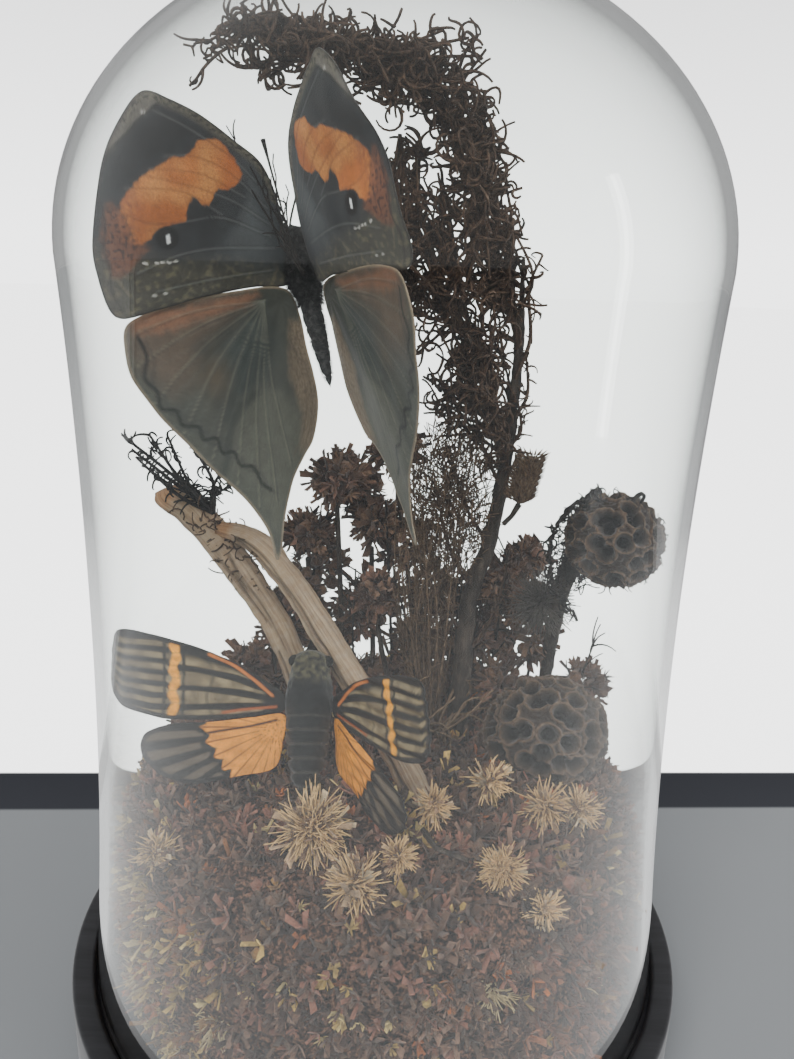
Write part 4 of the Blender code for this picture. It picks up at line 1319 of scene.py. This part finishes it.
def make_bodies():
    fly, fly_line = spindle("butterfly_thorax_and_abdomen", (-25.2, 4.6, 211), (-14.6, -4.6, 174),
                            [(0, 0), (.03, 1.6), (.08, 2.1), (.12, 1.6), (.17, 3), (.28, 3.9),
                             (.38, 3.4), (.46, 2.3), (.58, 2.5), (.8, 1.7), (.94, .8), (1, 0)],
                            13, 0.18, 0.25)
    wear(fly, DARK_FUR)
    hand_in(fly, "dark_fur", "butterfly_body")
    fur_on("butterfly_fur", fly_line, 5200, 0.02, 0.48, 2.3, DARK_FUR, "dark_fur")
    fur_on("butterfly_abdomen_fur", fly_line, 900, 0.46, 0.95, 0.8, DARK_FUR, "dark_fur")
    cicada, cicada_line = spindle("cicada_head_and_body", (-18.4, -11.5, 108.5), (-17.4, -33, 78.6),
                                  [(0, 0), (.02, 2.8), (.07, 4.7), (.16, 5), (.24, 5.6), (.36, 5.9),
                                   (.48, 5.5), (.62, 5.2), (.8, 4), (.93, 2.3), (1, 0)],
                                  11, 0.75, 0.4, 0.9)
    p = points_of(cicada) / MM
    share = np.clip((p - (-18.4, -11.5, 108.5)) @ cicada_line[1] / cicada_line[4], 0, 1)
    spots = np.clip(0.5 + 1.8 * wobble(p, 1.0, 3.0), 0, 1) * np.clip((0.26 - share) / 0.08, 0, 1)
    lines = np.clip(np.cos(share * 22 * math.pi) - 0.72, 0, 1) / 0.28 * (share > 0.45)
    shell = np.tile(tone(16, 17, 19), (len(p), 1))
    shell = lay(shell, 0.8 * spots, tone(88, 84, 62))
    shell = lay(shell, 0.6 * lines, tone(74, 72, 66))
    painted(cicada, shell * (1 + 0.35 * wobble(p, 0.7, 6.0))[:, None])
    wear(cicada, CICADA_SHELL)
    hand_in(cicada, "dark_shell", "cicada_body")
    fur_on("cicada_bristles", cicada_line, 900, 0.05, 0.9, 0.55, DARK_SHELL, "dark_shell")
    for k, sign in enumerate((-1, 1)):
        let_go()
        bpy.ops.mesh.primitive_ico_sphere_add(subdivisions=4, radius=1.55 * MM,
                                              location=((-18.2 + 4.1 * sign) * MM, -0.0142, 0.1066))
        eye = settle(named(f"cicada_eye_{k + 1}"))
        p = points_of(eye) / MM
        swell = (0.05 * wobble(p, 0.25, 1.0))[:, None]
        move_points(eye, (p + unit_rows(p - p.mean(0)) * swell) * MM)
        smooth(eye)
        wear(eye, DARK_SHELL)
        hand_in(eye, "dark_shell")
    feelers = {"left": [(-26.6, 4, 212), (-28.4, 4.4, 218), (-30.4, 4.4, 225), (-31.6, 3.8, 229.5)],
               "right": [(-25, 3.8, 213), (-23.6, 5, 219), (-22, 6, 225), (-21.2, 6.4, 229.5)]}
    for side, route in feelers.items():
        feeler = lay_tube("feeler_" + side, [(-25.6, 4.2, 209.6)] + route,
                          [0.26, 0.26, 0.24, 0.3, 0.6], 10, 60)
        wear(feeler, DARK_FUR)
        hand_in(feeler, "dark_fur", *[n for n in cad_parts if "antenna" in n and side in n])

make_bodies()

# %% [markdown]
# ## The honeycomb heads
# Two seed heads have deep round cells with thin pale rims. A fine icosphere is
# stretched to the head, and each point sinks or rises by how near it is to the
# nearest cell's middle. The cells are spread like the seeds of a sunflower.

# %% Honeycomb heads
def honeycomb(name, centre, half, turn, cell_count, depth, node_name):
    let_go()
    bpy.ops.mesh.primitive_ico_sphere_add(subdivisions=7, radius=1.0)
    head = named(name)
    p = points_of(head)
    k = np.arange(cell_count) + 0.5
    height = 1 - 2 * k / cell_count
    spin = GOLDEN_TURN * k
    flat = np.sqrt(1 - height**2)
    draw = np.random.default_rng(cell_count)
    hearts = unit_rows(np.stack([flat * np.cos(spin), flat * np.sin(spin), height], 1)
                       + 0.1 * draw.normal(size=(cell_count, 3)))
    near = np.arccos(np.clip(p @ hearts.T, -1, 1)).min(axis=1)
    cell = math.sqrt(4 * math.pi / cell_count)
    ring = near / (0.53 * cell) + 0.07 * wobble(p, 0.14, 8.0)
    bowl = np.clip((0.86 - ring) / 0.3, 0, 1)
    bowl = bowl * bowl * (3 - 2 * bowl)
    rim = np.exp(-((ring - 0.95) / 0.11) ** 2)
    reach = 0.97 - depth * bowl + 0.05 * rim + 0.05 * wobble(p, 0.07, 3.0) \
        + 0.03 * wobble(p, 0.5, 6.0)
    half = np.asarray(half, float)
    scaled = p * half * reach[:, None]
    spin_by = Matrix.Rotation(math.radians(turn[1]), 3, "Y") \
        @ Matrix.Rotation(math.radians(turn[0]), 3, "X")
    q = np.asarray(centre, float) + scaled @ np.array(spin_by).T
    move_points(head, q * MM)
    # Each cell is painted near black down in its bowl, as painted shade, between paler rims.
    pale, mid, dark = tone(98, 80, 64), tone(44, 35, 29), tone(9, 8, 7)
    colours = mid + (pale - mid) * rim[:, None]
    colours = colours + (dark - colours) * bowl[:, None]
    colours *= (1 + 0.3 * wobble(p, 0.12, 9.0) + 0.25 * wobble(p, 0.7, 2.0))[:, None]
    painted(head, colours)
    smooth(head)
    wear(head, SEED_HEAD)
    return hand_in(head, "seed_head", node_name)

SEED_HEAD = dried_petal("seed_head_skin", 1100.0)
UPPER_HEAD = np.array([55.6, -12, 140.6])
honeycomb("honeycomb_upper", UPPER_HEAD, (12.4, 10.8, 11.6), (20, 25), 74, 0.2,
          "honeycomb_head_upper")
honeycomb("honeycomb_lower", (45, -4, 82.5), (17.2, 14.2, 15.6), (0, 0), 96, 0.17,
          "honeycomb_head_lower")

# %% [markdown]
# ## Wiry and curly twigs
# All the fine growth is made of curves: a line of points with a round bevel,
# turned into mesh when a bunch is complete. A curl is walked step by step,
# turning a little each step, as a drying twig does.

# %% Twig bunches
def curl(draw, start, heading, length, steps, turn, drift=0.25):
    heading = unit(heading)
    axis = unit(np.cross(heading, draw.normal(size=3)))
    step = length / steps
    at, points = np.array(start, float), [np.array(start, float)]
    for _ in range(steps):
        c, s = math.cos(turn), math.sin(turn)
        heading = unit(heading * c + np.cross(axis, heading) * s)
        axis = unit(axis + drift * draw.normal(size=3))
        at = at + heading * step
        points.append(at.copy())
    return np.array(points)

def twig_bunch(name, twigs, slot_name, mat, *nodes):
    # Each twig is (points, thickness at the root, thickness at the tip), mm.
    data = bpy.data.curves.new(name, "CURVE")
    data.dimensions, data.bevel_depth, data.bevel_resolution = "3D", MM, 0
    data.use_fill_caps = True
    for points, root, tip in twigs:
        points = inside_bell(np.asarray(points, float))
        spline = data.splines.new("POLY")
        spline.points.add(len(points) - 1)
        rows = np.c_[points * MM, np.ones(len(points))]
        spline.points.foreach_set("co", rows.ravel())
        spline.points.foreach_set("radius", np.linspace(root, tip, len(points)))
    pick(put_in_scene(name, data))
    bpy.ops.object.convert(target="MESH")
    bunch = named(name)
    smooth(bunch)
    wear(bunch, mat)
    return hand_in(bunch, slot_name, *nodes)

def inside_bell(points, spare=3.2):
    points = points.copy()
    height = points[:, 2] - FOOT_HEIGHT
    side = bell_radius(np.minimum(height, BELL_SIDE)) - spare
    over = np.clip((height - BELL_SIDE) / (BELL_CROWN - spare), 0, 0.98)
    limit = side * np.sqrt(1 - over**2)
    reach = np.hypot(points[:, 0], points[:, 1])
    points[:, :2] *= np.minimum(1, limit / np.maximum(reach, 1e-6))[:, None]
    points[:, 2] = np.minimum(points[:, 2], FOOT_HEIGHT + BELL_SIDE + (BELL_CROWN - spare) * 0.97)
    return points

CURLY = bark("curly_twig", swatch(52, 38, 29), swatch(96, 73, 57), swatch(138, 112, 92), 2.0)
WIRY = bark("black_wiry_twig", swatch(22, 20, 19), swatch(46, 41, 37), swatch(84, 76, 70), 2.0)
FIBRE = bark("brown_fibre", swatch(74, 56, 42), swatch(122, 98, 76), swatch(164, 140, 114), 2.0)
GREY_FUZZ = bark("grey_fuzz", swatch(70, 66, 62), swatch(108, 102, 96), swatch(144, 138, 130), 2.0)
PALE_TENDRIL = bark("pale_tendril", swatch(96, 76, 56), swatch(140, 116, 90),
                    swatch(176, 152, 124), 2.0)

# %% [markdown]
# The crown is a cloud of curly twigs. Main branches leave the stem and reach
# points spread through each bough; every branch carries short hooked curls.

# %% Crown
CROWN = {
    "shoulder": dict(node=None, centre=(15.5, 4, 231), half=(9.5, 8, 13),
                     spine=[(24, 6, 214), (19, 4, 226), (14, 3, 236)], mains=26, curls=9),
    "low": dict(node="crown_bough_low", centre=(19, 9, 176), half=(13, 7.5, 24),
                spine=[(31, 9, 150), (28, 9, 166), (23, 9, 178), (20, 9, 190)], mains=44, curls=9),
    "right": dict(node="crown_bough_right", centre=(20.5, 8, 209.5), half=(11.8, 7.5, 24),
                  spine=[(31.4, 8.5, 184), (28, 8, 200), (24, 6, 214), (19, 2, 228)],
                  mains=54, curls=8),
    "middle": dict(node="crown_bough_middle", centre=(1, 10.5, 207), half=(14, 7, 33),
                   spine=[(22, 8, 182), (12, 9, 196), (4, 9, 212), (0, 8, 232)],
                   mains=56, curls=8),
    "top": dict(node="crown_bough_top", centre=(2, -1, 244.5), half=(20, 10, 9.5),
                spine=[(16, 4, 228), (8, 3, 240), (-4, 0, 246), (-16, -6, 249)],
                mains=60, curls=8),
    "tip": dict(node="crown_bough_tip", centre=(-28, -14, 245), half=(15, 9, 7.5),
                spine=[(-8, -4, 246), (-18, -9, 248), (-28, -14, 247)], mains=28, curls=8)}

def fill_bough(draw, centre, half, spine, mains, curls):
    centre, half = np.array(centre, float), np.array(half, float)
    path = through(spine, 12)
    twigs = [(through(spine, 6), 0.85, 0.4)]
    for _ in range(mains):
        root = path[int(draw.integers(len(path)))]
        spot = unit(draw.normal(size=3)) * draw.uniform(0.35, 1.0) ** 0.6
        goal = centre + spot * half
        bend = (root + goal) / 2 + draw.normal(size=3) * 1.8
        branch = through([root, bend, goal], 5)
        twigs.append((branch, 0.52, 0.32))
        for _ in range(curls):
            k = int(draw.integers(2, len(branch)))
            heading = unit(branch[min(k, len(branch) - 1)] - branch[k - 1])
            heading = heading + 1.1 * draw.normal(size=3)
            size = draw.uniform(4.0, 11.0)
            twigs.append((curl(draw, branch[k - 1], heading, size, 8, draw.uniform(0.2, 0.7)),
                          0.46, 0.26))
    return twigs

def make_crown():
    for k, (key, bough) in enumerate(CROWN.items()):
        draw = np.random.default_rng(100 + k)
        twigs = fill_bough(draw, bough["centre"], bough["half"], bough["spine"], bough["mains"],
                           bough["curls"])
        if key == "tip":
            for goal in ((-41, -25, 235), (-38, -24, 240), (-33, -26, 248), (-43, -20, 243),
                         (-36, -25, 244), (-30, -26, 250)):
                branch = through([(-24, -13, 248), (-31, -20, 246), goal], 8)
                branch = branch + 0.5 * draw.normal(size=branch.shape)
                twigs.append((branch, 0.5, 0.28))
                for _ in range(9):
                    at = branch[int(draw.integers(4, len(branch)))]
                    twigs.append((curl(draw, at, draw.normal(size=3), draw.uniform(2.5, 5.5), 7,
                                       draw.uniform(0.2, 0.7)), 0.34, 0.18))
        twig_bunch("curly_crown_" + key, twigs, "curly_twig", CURLY,
                   *([bough["node"]] if bough["node"] else []))
    draw = np.random.default_rng(150)
    loose = []
    for route in ([(31, 8, 176), (34, 7, 186), (32.6, 6, 198), (35, 4, 206)],
                  [(31, 9, 165), (34.5, 8, 172), (33.5, 8, 182)],
                  [(30.6, 9, 158), (33.6, 8, 163), (32, 7, 171)],
                  [(29.6, 9, 148), (25, 9, 156), (22, 9, 166)],
                  [(27, 9, 132), (20, 9, 143), (15, 9, 158)],
                  [(28, 9, 140), (31, 8, 150), (33.6, 7, 158)],
                  [(24, 9, 118), (17, 8, 130), (12, 8, 148)],
                  [(22.5, 8, 104), (15, 7, 116), (8, 7, 128)],
                  [(22, 8, 98), (29, 7, 110), (32, 6, 124)]):
        branch = through(route, 7)
        loose.append((branch, 0.62, 0.3))
        for _ in range(16):
            at = branch[int(draw.integers(3, len(branch)))]
            heading = draw.normal(size=3) + (0, 0, 0.6)
            loose.append((curl(draw, at, heading, draw.uniform(2.5, 6.5), 7,
                               draw.uniform(0.1, 0.6)), 0.3, 0.15))
    twig_bunch("curly_side_twigs", loose, "curly_twig", CURLY)

make_crown()

# %% [markdown]
# Under the crown hangs a tuft of fine brown fibres with feathery sides, and at
# the left a small black wiry fan is glued to the driftwood.

# %% Fibre tuft and wiry fan
def make_tuft():
    draw = np.random.default_rng(7)
    twigs = []
    for _ in range(46):
        foot = np.array([13, 9, 74]) + draw.normal(size=3) * (2.2, 2, 2)
        tip = np.array([11 + 9.5 * draw.uniform(-1, 1), 9 + 6 * draw.uniform(-1, 1),
                        draw.uniform(112, 160)])
        middle = (foot + tip) / 2 + draw.normal(size=3) * 2.0
        strand = through([foot, middle, tip], 8)
        twigs.append((strand, 0.34, 0.14))
        for _ in range(34):
            k = int(draw.integers(3, len(strand)))
            heading = unit(strand[k] - strand[k - 1]) + 0.75 * draw.normal(size=3)
            twigs.append((curl(draw, strand[k], heading, draw.uniform(1.8, 4.2), 3,
                               draw.uniform(0, 0.35)), 0.17, 0.08))
    needles = []
    for _ in range(1700):
        spot = unit(draw.normal(size=3)) * draw.uniform(0, 1) ** 0.4
        at = np.array([16.5, 9, 143]) + spot * (11.5, 6, 24)
        heading = np.array([0.25 * (at[0] - 16) / 9, 0, 1.0]) + 0.5 * draw.normal(size=3)
        needles.append((curl(draw, at, heading * draw.choice((-1, 1)), draw.uniform(2.2, 5), 3,
                             draw.uniform(0.05, 0.4)), 0.19, 0.1))
    twig_bunch("brown_fibre_tuft", twigs, "brown_fibre", FIBRE, "fibre_tuft")
    twig_bunch("brown_needles", needles, "brown_fibre", FIBRE)
    tendrils = []
    for k in range(15):
        foot = np.array([draw.uniform(8, 19), draw.uniform(-4, 3), draw.uniform(76, 80)])
        tendrils.append((curl(draw, foot, (draw.uniform(-.3, .3), 0, 1), draw.uniform(16, 30), 22,
                              draw.uniform(0.12, 0.3), 0.5), 0.42, 0.22))
    twig_bunch("pale_curly_tendrils", tendrils, "curly_twig", PALE_TENDRIL)

def make_fan():
    draw = np.random.default_rng(23)
    foot = np.array([-46.8, 8, 138.0])
    twigs = []
    goals = [(-66.2, -5, 161), (-64.5, -3, 157), (-66, 4, 153.5), (-60, -2, 160.5), (-56, 1, 159),
             (-50, 3, 156.5), (-63.6, 9, 148.5), (-44, 5, 150), (-57, 6, 149), (-41.5, 6, 146)]
    for goal in goals:
        goal = np.array(goal, float)
        bend = (foot + goal) / 2 + draw.normal(size=3) * 1.6
        branch = through([foot, bend, goal], 9)
        twigs.append((branch, 0.6, 0.32))
        for _ in range(15):
            k = int(draw.integers(4, len(branch)))
            heading = unit(branch[k] - branch[k - 1]) + 0.9 * draw.normal(size=3)
            twigs.append((curl(draw, branch[k], heading, draw.uniform(2.4, 6.0), 7,
                               draw.uniform(0.12, 0.6)), 0.36, 0.2))
    twig_bunch("black_wiry_fan", twigs, "black_wiry_twig", WIRY, "wiry_fan")
    netting = []
    for _ in range(80):
        along = draw.uniform(0, 1)
        at = np.array([-50 + 16 * along, 5.5, 137 - 17 * along])
        at = at + draw.normal(size=3) * (2.4, 1.2, 2.4)
        netting.append((curl(draw, at, draw.normal(size=3), draw.uniform(3, 7), 7,
                             draw.uniform(0.2, 0.7)), 0.26, 0.16))
    twig_bunch("grey_netting_on_stick", netting, "black_wiry_twig", CURLY)

make_tuft()
make_fan()

# %% [markdown]
# A black tendril winds up beside the upper seed head, and wiry hairs stand
# round its rim. A small grey feathery head hangs next to it, and a few wires show
# behind the butterfly's head. Finer twigs and stalks fill the gaps between the
# flowers.

# %% Tendril, hairs and stalks
def make_tendril():
    draw = np.random.default_rng(31)
    swing = zip((112, 130, 150, 170, 190, 210, 228, 245),
                (13.5, 14, 15, 16, 16.5, 17.5, 19, 21))
    arc = [(UPPER_HEAD[0] + reach * math.cos(math.radians(angle)), -14 - 0.3 * s,
            UPPER_HEAD[2] + reach * math.sin(math.radians(angle)))
           for s, (angle, reach) in enumerate(swing)]
    path = through(arc, 8)
    twigs = [(path + 0.45 * draw.normal(size=path.shape), 0.75, 0.45)]
    for _ in range(80):
        k = int(draw.integers(len(path)))
        heading = (path[k] - UPPER_HEAD) * 0.05 + draw.normal(size=3)
        twigs.append((curl(draw, path[k], heading, draw.uniform(2, 5), 7, draw.uniform(0.2, 0.8)),
                      0.32, 0.18))
    hook = curl(draw, (57, -18, 152), (0.2, -0.2, 1), 11, 14, 0.36, 0.1)
    twigs.append((hook, 0.6, 0.3))
    twig_bunch("black_tendril", twigs, "black_wiry_twig", WIRY, "wiry_tendril")
    hairs = []
    for _ in range(240):
        out = unit(draw.normal(size=3) + (-0.7, 0, 0.2))
        root = UPPER_HEAD + out * (12.2, 10.6, 11.4)
        hairs.append((curl(draw, root, out + 0.8 * draw.normal(size=3), draw.uniform(1.5, 3.4), 4,
                           draw.uniform(0.2, 0.7)), 0.16, 0.1))
    for _ in range(300):
        spot = unit(draw.normal(size=3)) * draw.uniform(0.2, 1.0)
        root = np.array([46.5, -8.5, 133.5]) + spot * (5.6, 5, 8.5)
        hairs.append((curl(draw, root, draw.normal(size=3), draw.uniform(2.0, 5.0), 5,
                           draw.uniform(0.2, 0.7)), 0.17, 0.11))
    twig_bunch("seed_head_hairs", hairs, "black_wiry_twig", WIRY)
    fuzz = []
    for _ in range(700):
        out = unit(draw.normal(size=3))
        root = np.array([43, 7, 116.0]) + out * (3, 3, 4) * draw.uniform(0.2, 1)
        fuzz.append((curl(draw, root, out + 0.3 * draw.normal(size=3), draw.uniform(4.5, 8.5), 3,
                          draw.uniform(0.02, 0.2)), 0.16, 0.07))
    twig_bunch("grey_feathery_head", fuzz, "brown_bloom", GREY_FUZZ)

def make_head_wires():
    draw = np.random.default_rng(59)
    wires = []
    for tip in ((-27, -9, 225), (-29.5, -8, 221), (-25, -8, 214), (-38, -4, 231), (-40, -3, 228),
                (-30, -6, 217), (-24.5, -8, 219)):
        wire_path = through([(-21, -6, 200), (-24 - draw.uniform(0, 3), -7, 208), tip], 8)
        wires.append((wire_path + 0.2 * draw.normal(size=wire_path.shape), 0.34, 0.14))
        for _ in range(3):
            at = wire_path[int(draw.integers(6, len(wire_path)))]
            wires.append((curl(draw, at, (-0.4, 0, 1) + 0.4 * draw.normal(size=3),
                               draw.uniform(2.5, 5), 6, 0.15), 0.22, 0.12))
    twig_bunch("wires_behind_butterfly", wires, "black_wiry_twig", WIRY)

def make_stalks():
    draw = np.random.default_rng(53)
    stalks = []
    for foot, tip in (((30, 20, 74), (34, 16, 128)), ((42, 24, 72), (43, 18, 118)),
                      ((-30, 10, 74), (-33, 12, 112)), ((3, 22, 76), (-1, 20, 140)),
                      ((-12, 24, 76), (-17, 22, 138)), ((8, 18, 76), (2, 14, 120)),
                      ((16, 14, 76), (27, 14, 104)), ((-6, 20, 76), (-9, 18, 120)),
                      ((24, 22, 76), (20, 20, 132)), ((52, 10, 70), (58, 6, 104))):
        foot, tip = np.array(foot, float), np.array(tip, float)
        branch = through([foot, (foot + tip) / 2 + draw.normal(size=3) * 3, tip], 10)
        stalks.append((branch, 0.6, 0.3))
        for _ in range(12):
            k = int(draw.integers(4, len(branch)))
            heading = (0, 0, 1) + 0.8 * draw.normal(size=3)
            stalks.append((curl(draw, branch[k], heading, draw.uniform(4, 9), 5,
                                draw.uniform(0.02, 0.25)), 0.28, 0.16))
    twig_bunch("thin_dark_stalks", stalks, "dark_bark", WIRY)

make_tendril()
make_head_wires()
make_stalks()

# %% [markdown]
# ## The flower heads
# Brown heads are balls of florets. The straw-coloured ones are open bursts of
# bristles with pale tips, partly painted highlight. The thistle is a box of rows of
# short bristles.

# %% Brown heads
BROWN = [swatch(98, 72, 56), swatch(78, 56, 44), swatch(120, 92, 72), swatch(66, 46, 38),
         swatch(110, 80, 66)]

def ball_of(draw, centre, half, count, size, palette, kinds):
    laid = []
    for k in range(count):
        height = 1 - 2 * (k + 0.5) / count
        spin = GOLDEN_TURN * k + draw.uniform(-0.2, 0.2)
        ring = math.sqrt(1 - height**2)
        out = np.array([ring * math.cos(spin), ring * math.sin(spin), height])
        reach = draw.uniform(0.55, 0.98)
        at = np.asarray(centre) + out * np.asarray(half) * reach
        # Tone varies at random, and florets set deeper in the ball are also painted darker, as
        # painted shade.
        shade = draw.uniform(0.65, 1.25) * (0.6 + 0.4 * reach)
        colour = np.array(palette[int(draw.integers(len(palette)))]) * shade
        laid.append((kinds[int(draw.integers(len(kinds)))], at, out + 0.25 * draw.normal(size=3),
                     size * draw.uniform(0.75, 1.25), colour))
    return laid

def make_brown_heads():
    draw = np.random.default_rng(67)
    nodes = sorted(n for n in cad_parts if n.startswith("back_bloom") and "stem" not in n)
    laid = []
    for node_name in nodes:
        low, high = (np.array(corner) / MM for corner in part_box(node_name))
        centre, half = (low + high) / 2, (high - low) / 2
        laid += ball_of(draw, centre, half * 0.92, 92, 2.6, BROWN,
                        ("rosette", "crinkle", "burst", "bud"))
    # Smaller unseen heads fill the middle, between the stems.
    for centre, r in (((-10, 27, 142), 8), ((-21, 27, 118), 8.5), ((5, 27, 126), 7.5),
                      ((-5, 29, 106), 9), ((14, 27, 98), 8.5), ((27, 26, 108), 8),
                      ((-27, 25, 106), 8), ((8, 22, 96), 7), ((-8, 24, 104), 7),
                      ((14, 26, 112), 6), ((30, 24, 96), 8), ((42, 22, 98), 7.5),
                      ((-30, 20, 100), 6), ((-18, 26, 96), 7), ((20, 24, 84), 8),
                      ((0, 20, 86), 7), ((34, 12, 88), 6.5), ((-34, 18, 82), 6.5),
                      ((40, 20, 124), 5), ((33, 20, 118), 5.5), ((58, 8, 92), 6),
                      ((-44, 10, 80), 5), ((24, 16, 100), 5)):
        laid += ball_of(draw, centre, np.array((r, r * 0.8, r)), 47, 2.85, BROWN,
                        ("rosette", "crinkle", "burst", "bud"))
    lay_florets("brown_flower_heads", laid, "brown_bloom", PETAL, *nodes)
    thistle = []
    for k in range(15):
        for j in range(16):
            z = -6 + 12 * (k + 0.5) / 15
            a = 2 * math.pi * (j + 0.5 * (k % 2)) / 16
            out = np.array([math.cos(a), math.sin(a), 0.7])
            at = np.array([35.3 + 0.2 * z, 4.5, 150.8 + z]) + out * (2.5, 2.5, 1.0)
            thistle.append((at, at + unit(out) * draw.uniform(2.0, 3.0)))
    roots, tips = np.array([t[0] for t in thistle]), np.array([t[1] for t in thistle])
    spikes("thistle_bristles", roots, tips, 0.42, FIBRE, "brown_bloom", "thistle_head")
    core, _ = spindle("thistle_core", (34.0, 4.5, 144.4), (36.6, 4.5, 157.2),
                      [(0, 0), (.06, 1.6), (.2, 2.6), (.5, 2.8), (.85, 2.5), (.97, 1.6), (1, 0)],
                      0, 0, 0.3, 1.0, 3)
    wear(core, FIBRE)
    hand_in(core, "brown_bloom")

make_brown_heads()

# %% [markdown]
# Straw-coloured bursts sit on the front of the mound. Each is a ball of thin
# straws, darker at the heart as painted shade, with small florets packed into its
# middle. Smaller cream tufts stand further down and round the back.

# %% Straw bursts
STRAW = [swatch(206, 190, 158), swatch(184, 164, 128), swatch(222, 208, 178), swatch(166, 142, 106)]

STRAW_BITS = [swatch(176, 148, 116), swatch(146, 116, 88), swatch(204, 184, 150),
              swatch(118, 90, 68)]
STRAW_KINDS = [(260, 0.5, 0.2), (130, 0.6, 0.32), (90, 0.45, 0.4), (110, 0.5, 0.36),
               (130, 0.7, 0.28)]

def straw_burst(draw, twigs, centre, size, count, facing, spread, thick=0.3):
    facing = unit(facing)
    centre = np.asarray(centre, float)
    for _ in range(count):
        out = unit(facing * draw.uniform(0.0, 1.4) + spread * draw.normal(size=3))
        length = size * draw.uniform(0.7, 1.12)
        twigs.append((curl(draw, centre + out * size * 0.12, out, length, 4,
                           draw.uniform(0.02, 0.3), 0.15), thick * draw.uniform(0.75, 1.2), 0.1))

def make_straw():
    mat = dried_petal("straw_bristles", 700.0)
    draw = np.random.default_rng(79)
    nodes = sorted((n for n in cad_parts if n.startswith("straw_bloom")),
                   key=lambda n: int(n.rsplit("_", 1)[1]))
    bits = []
    for k, node_name in enumerate(nodes):
        low, high = (np.array(corner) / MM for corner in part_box(node_name))
        centre, r = (low + high) / 2, float((high - low).mean() / 2)
        twigs = []
        facing = unit(np.array([draw.uniform(-0.5, 0.5), -1.0, draw.uniform(0.5, 1.1)]))
        count, spread, thick = STRAW_KINDS[k % 5]
        straw_burst(draw, twigs, centre - facing * r * 0.35, r * 1.28, count, facing, spread, thick)
        bits += ball_of(draw, centre - facing * r * 0.2, (r * 0.75,) * 3, int(9 + 5 * r), 0.36 * r,
                        STRAW_BITS, ("burst", "burst", "crinkle"))
        burst = twig_bunch("straw_burst_%d" % (k + 1), twigs, "straw_bloom", mat, node_name)
        p = points_of(burst) / MM
        # Straws are painted from a warm dark heart to pale tips over their own straw tint: painted
        # shade in the heart, painted highlight on the tips.
        reach = np.clip(np.linalg.norm(p - (centre - facing * r * 0.35), axis=1) / (r * 1.3), 0, 1)
        warm, pale = tone(116, 74, 42), tone(240, 204, 142)
        heart = np.clip((reach - 0.15) / 0.6, 0, 1)[:, None]
        tint = np.array(STRAW[k % 4])[:3] / np.array(STRAW[2])[:3]
        painted(burst, (warm + (pale - warm) * heart) * (0.55 + 0.45 * tint))
    lay_florets("straw_bits", bits, "straw_bloom", PETAL)
    tufts = []
    for centre, size in (((-56, -43, 34), 7), ((-35, -60, 38), 6.5), ((-44, -52, 26), 6),
                         ((-60, -34, 50), 5.5), ((27, -64, 54), 6.5), ((-20, -68, 30), 5),
                         ((52, -46, 40), 5), ((66, 10, 48), 6), ((-40, 54, 52), 6),
                         ((30, 60, 46), 6.5),
                         ((0, 68, 58), 6), ((-64, 20, 44), 6)):
        out = unit(np.array([centre[0], centre[1], 14.0]))
        straw_burst(draw, tufts, np.array(centre) - out * 3.5, size, 76, out, 0.6, 0.34)
    ring = twig_bunch("cream_tufts_on_mound", tufts, "straw_bloom", mat)
    p = points_of(ring) / MM
    painted(ring, tone(178, 158, 108) + (tone(222, 206, 160) - tone(178, 158, 108))
            * np.clip(0.5 + wobble(p, 4.0, 3.0), 0, 1)[:, None])

make_straw()
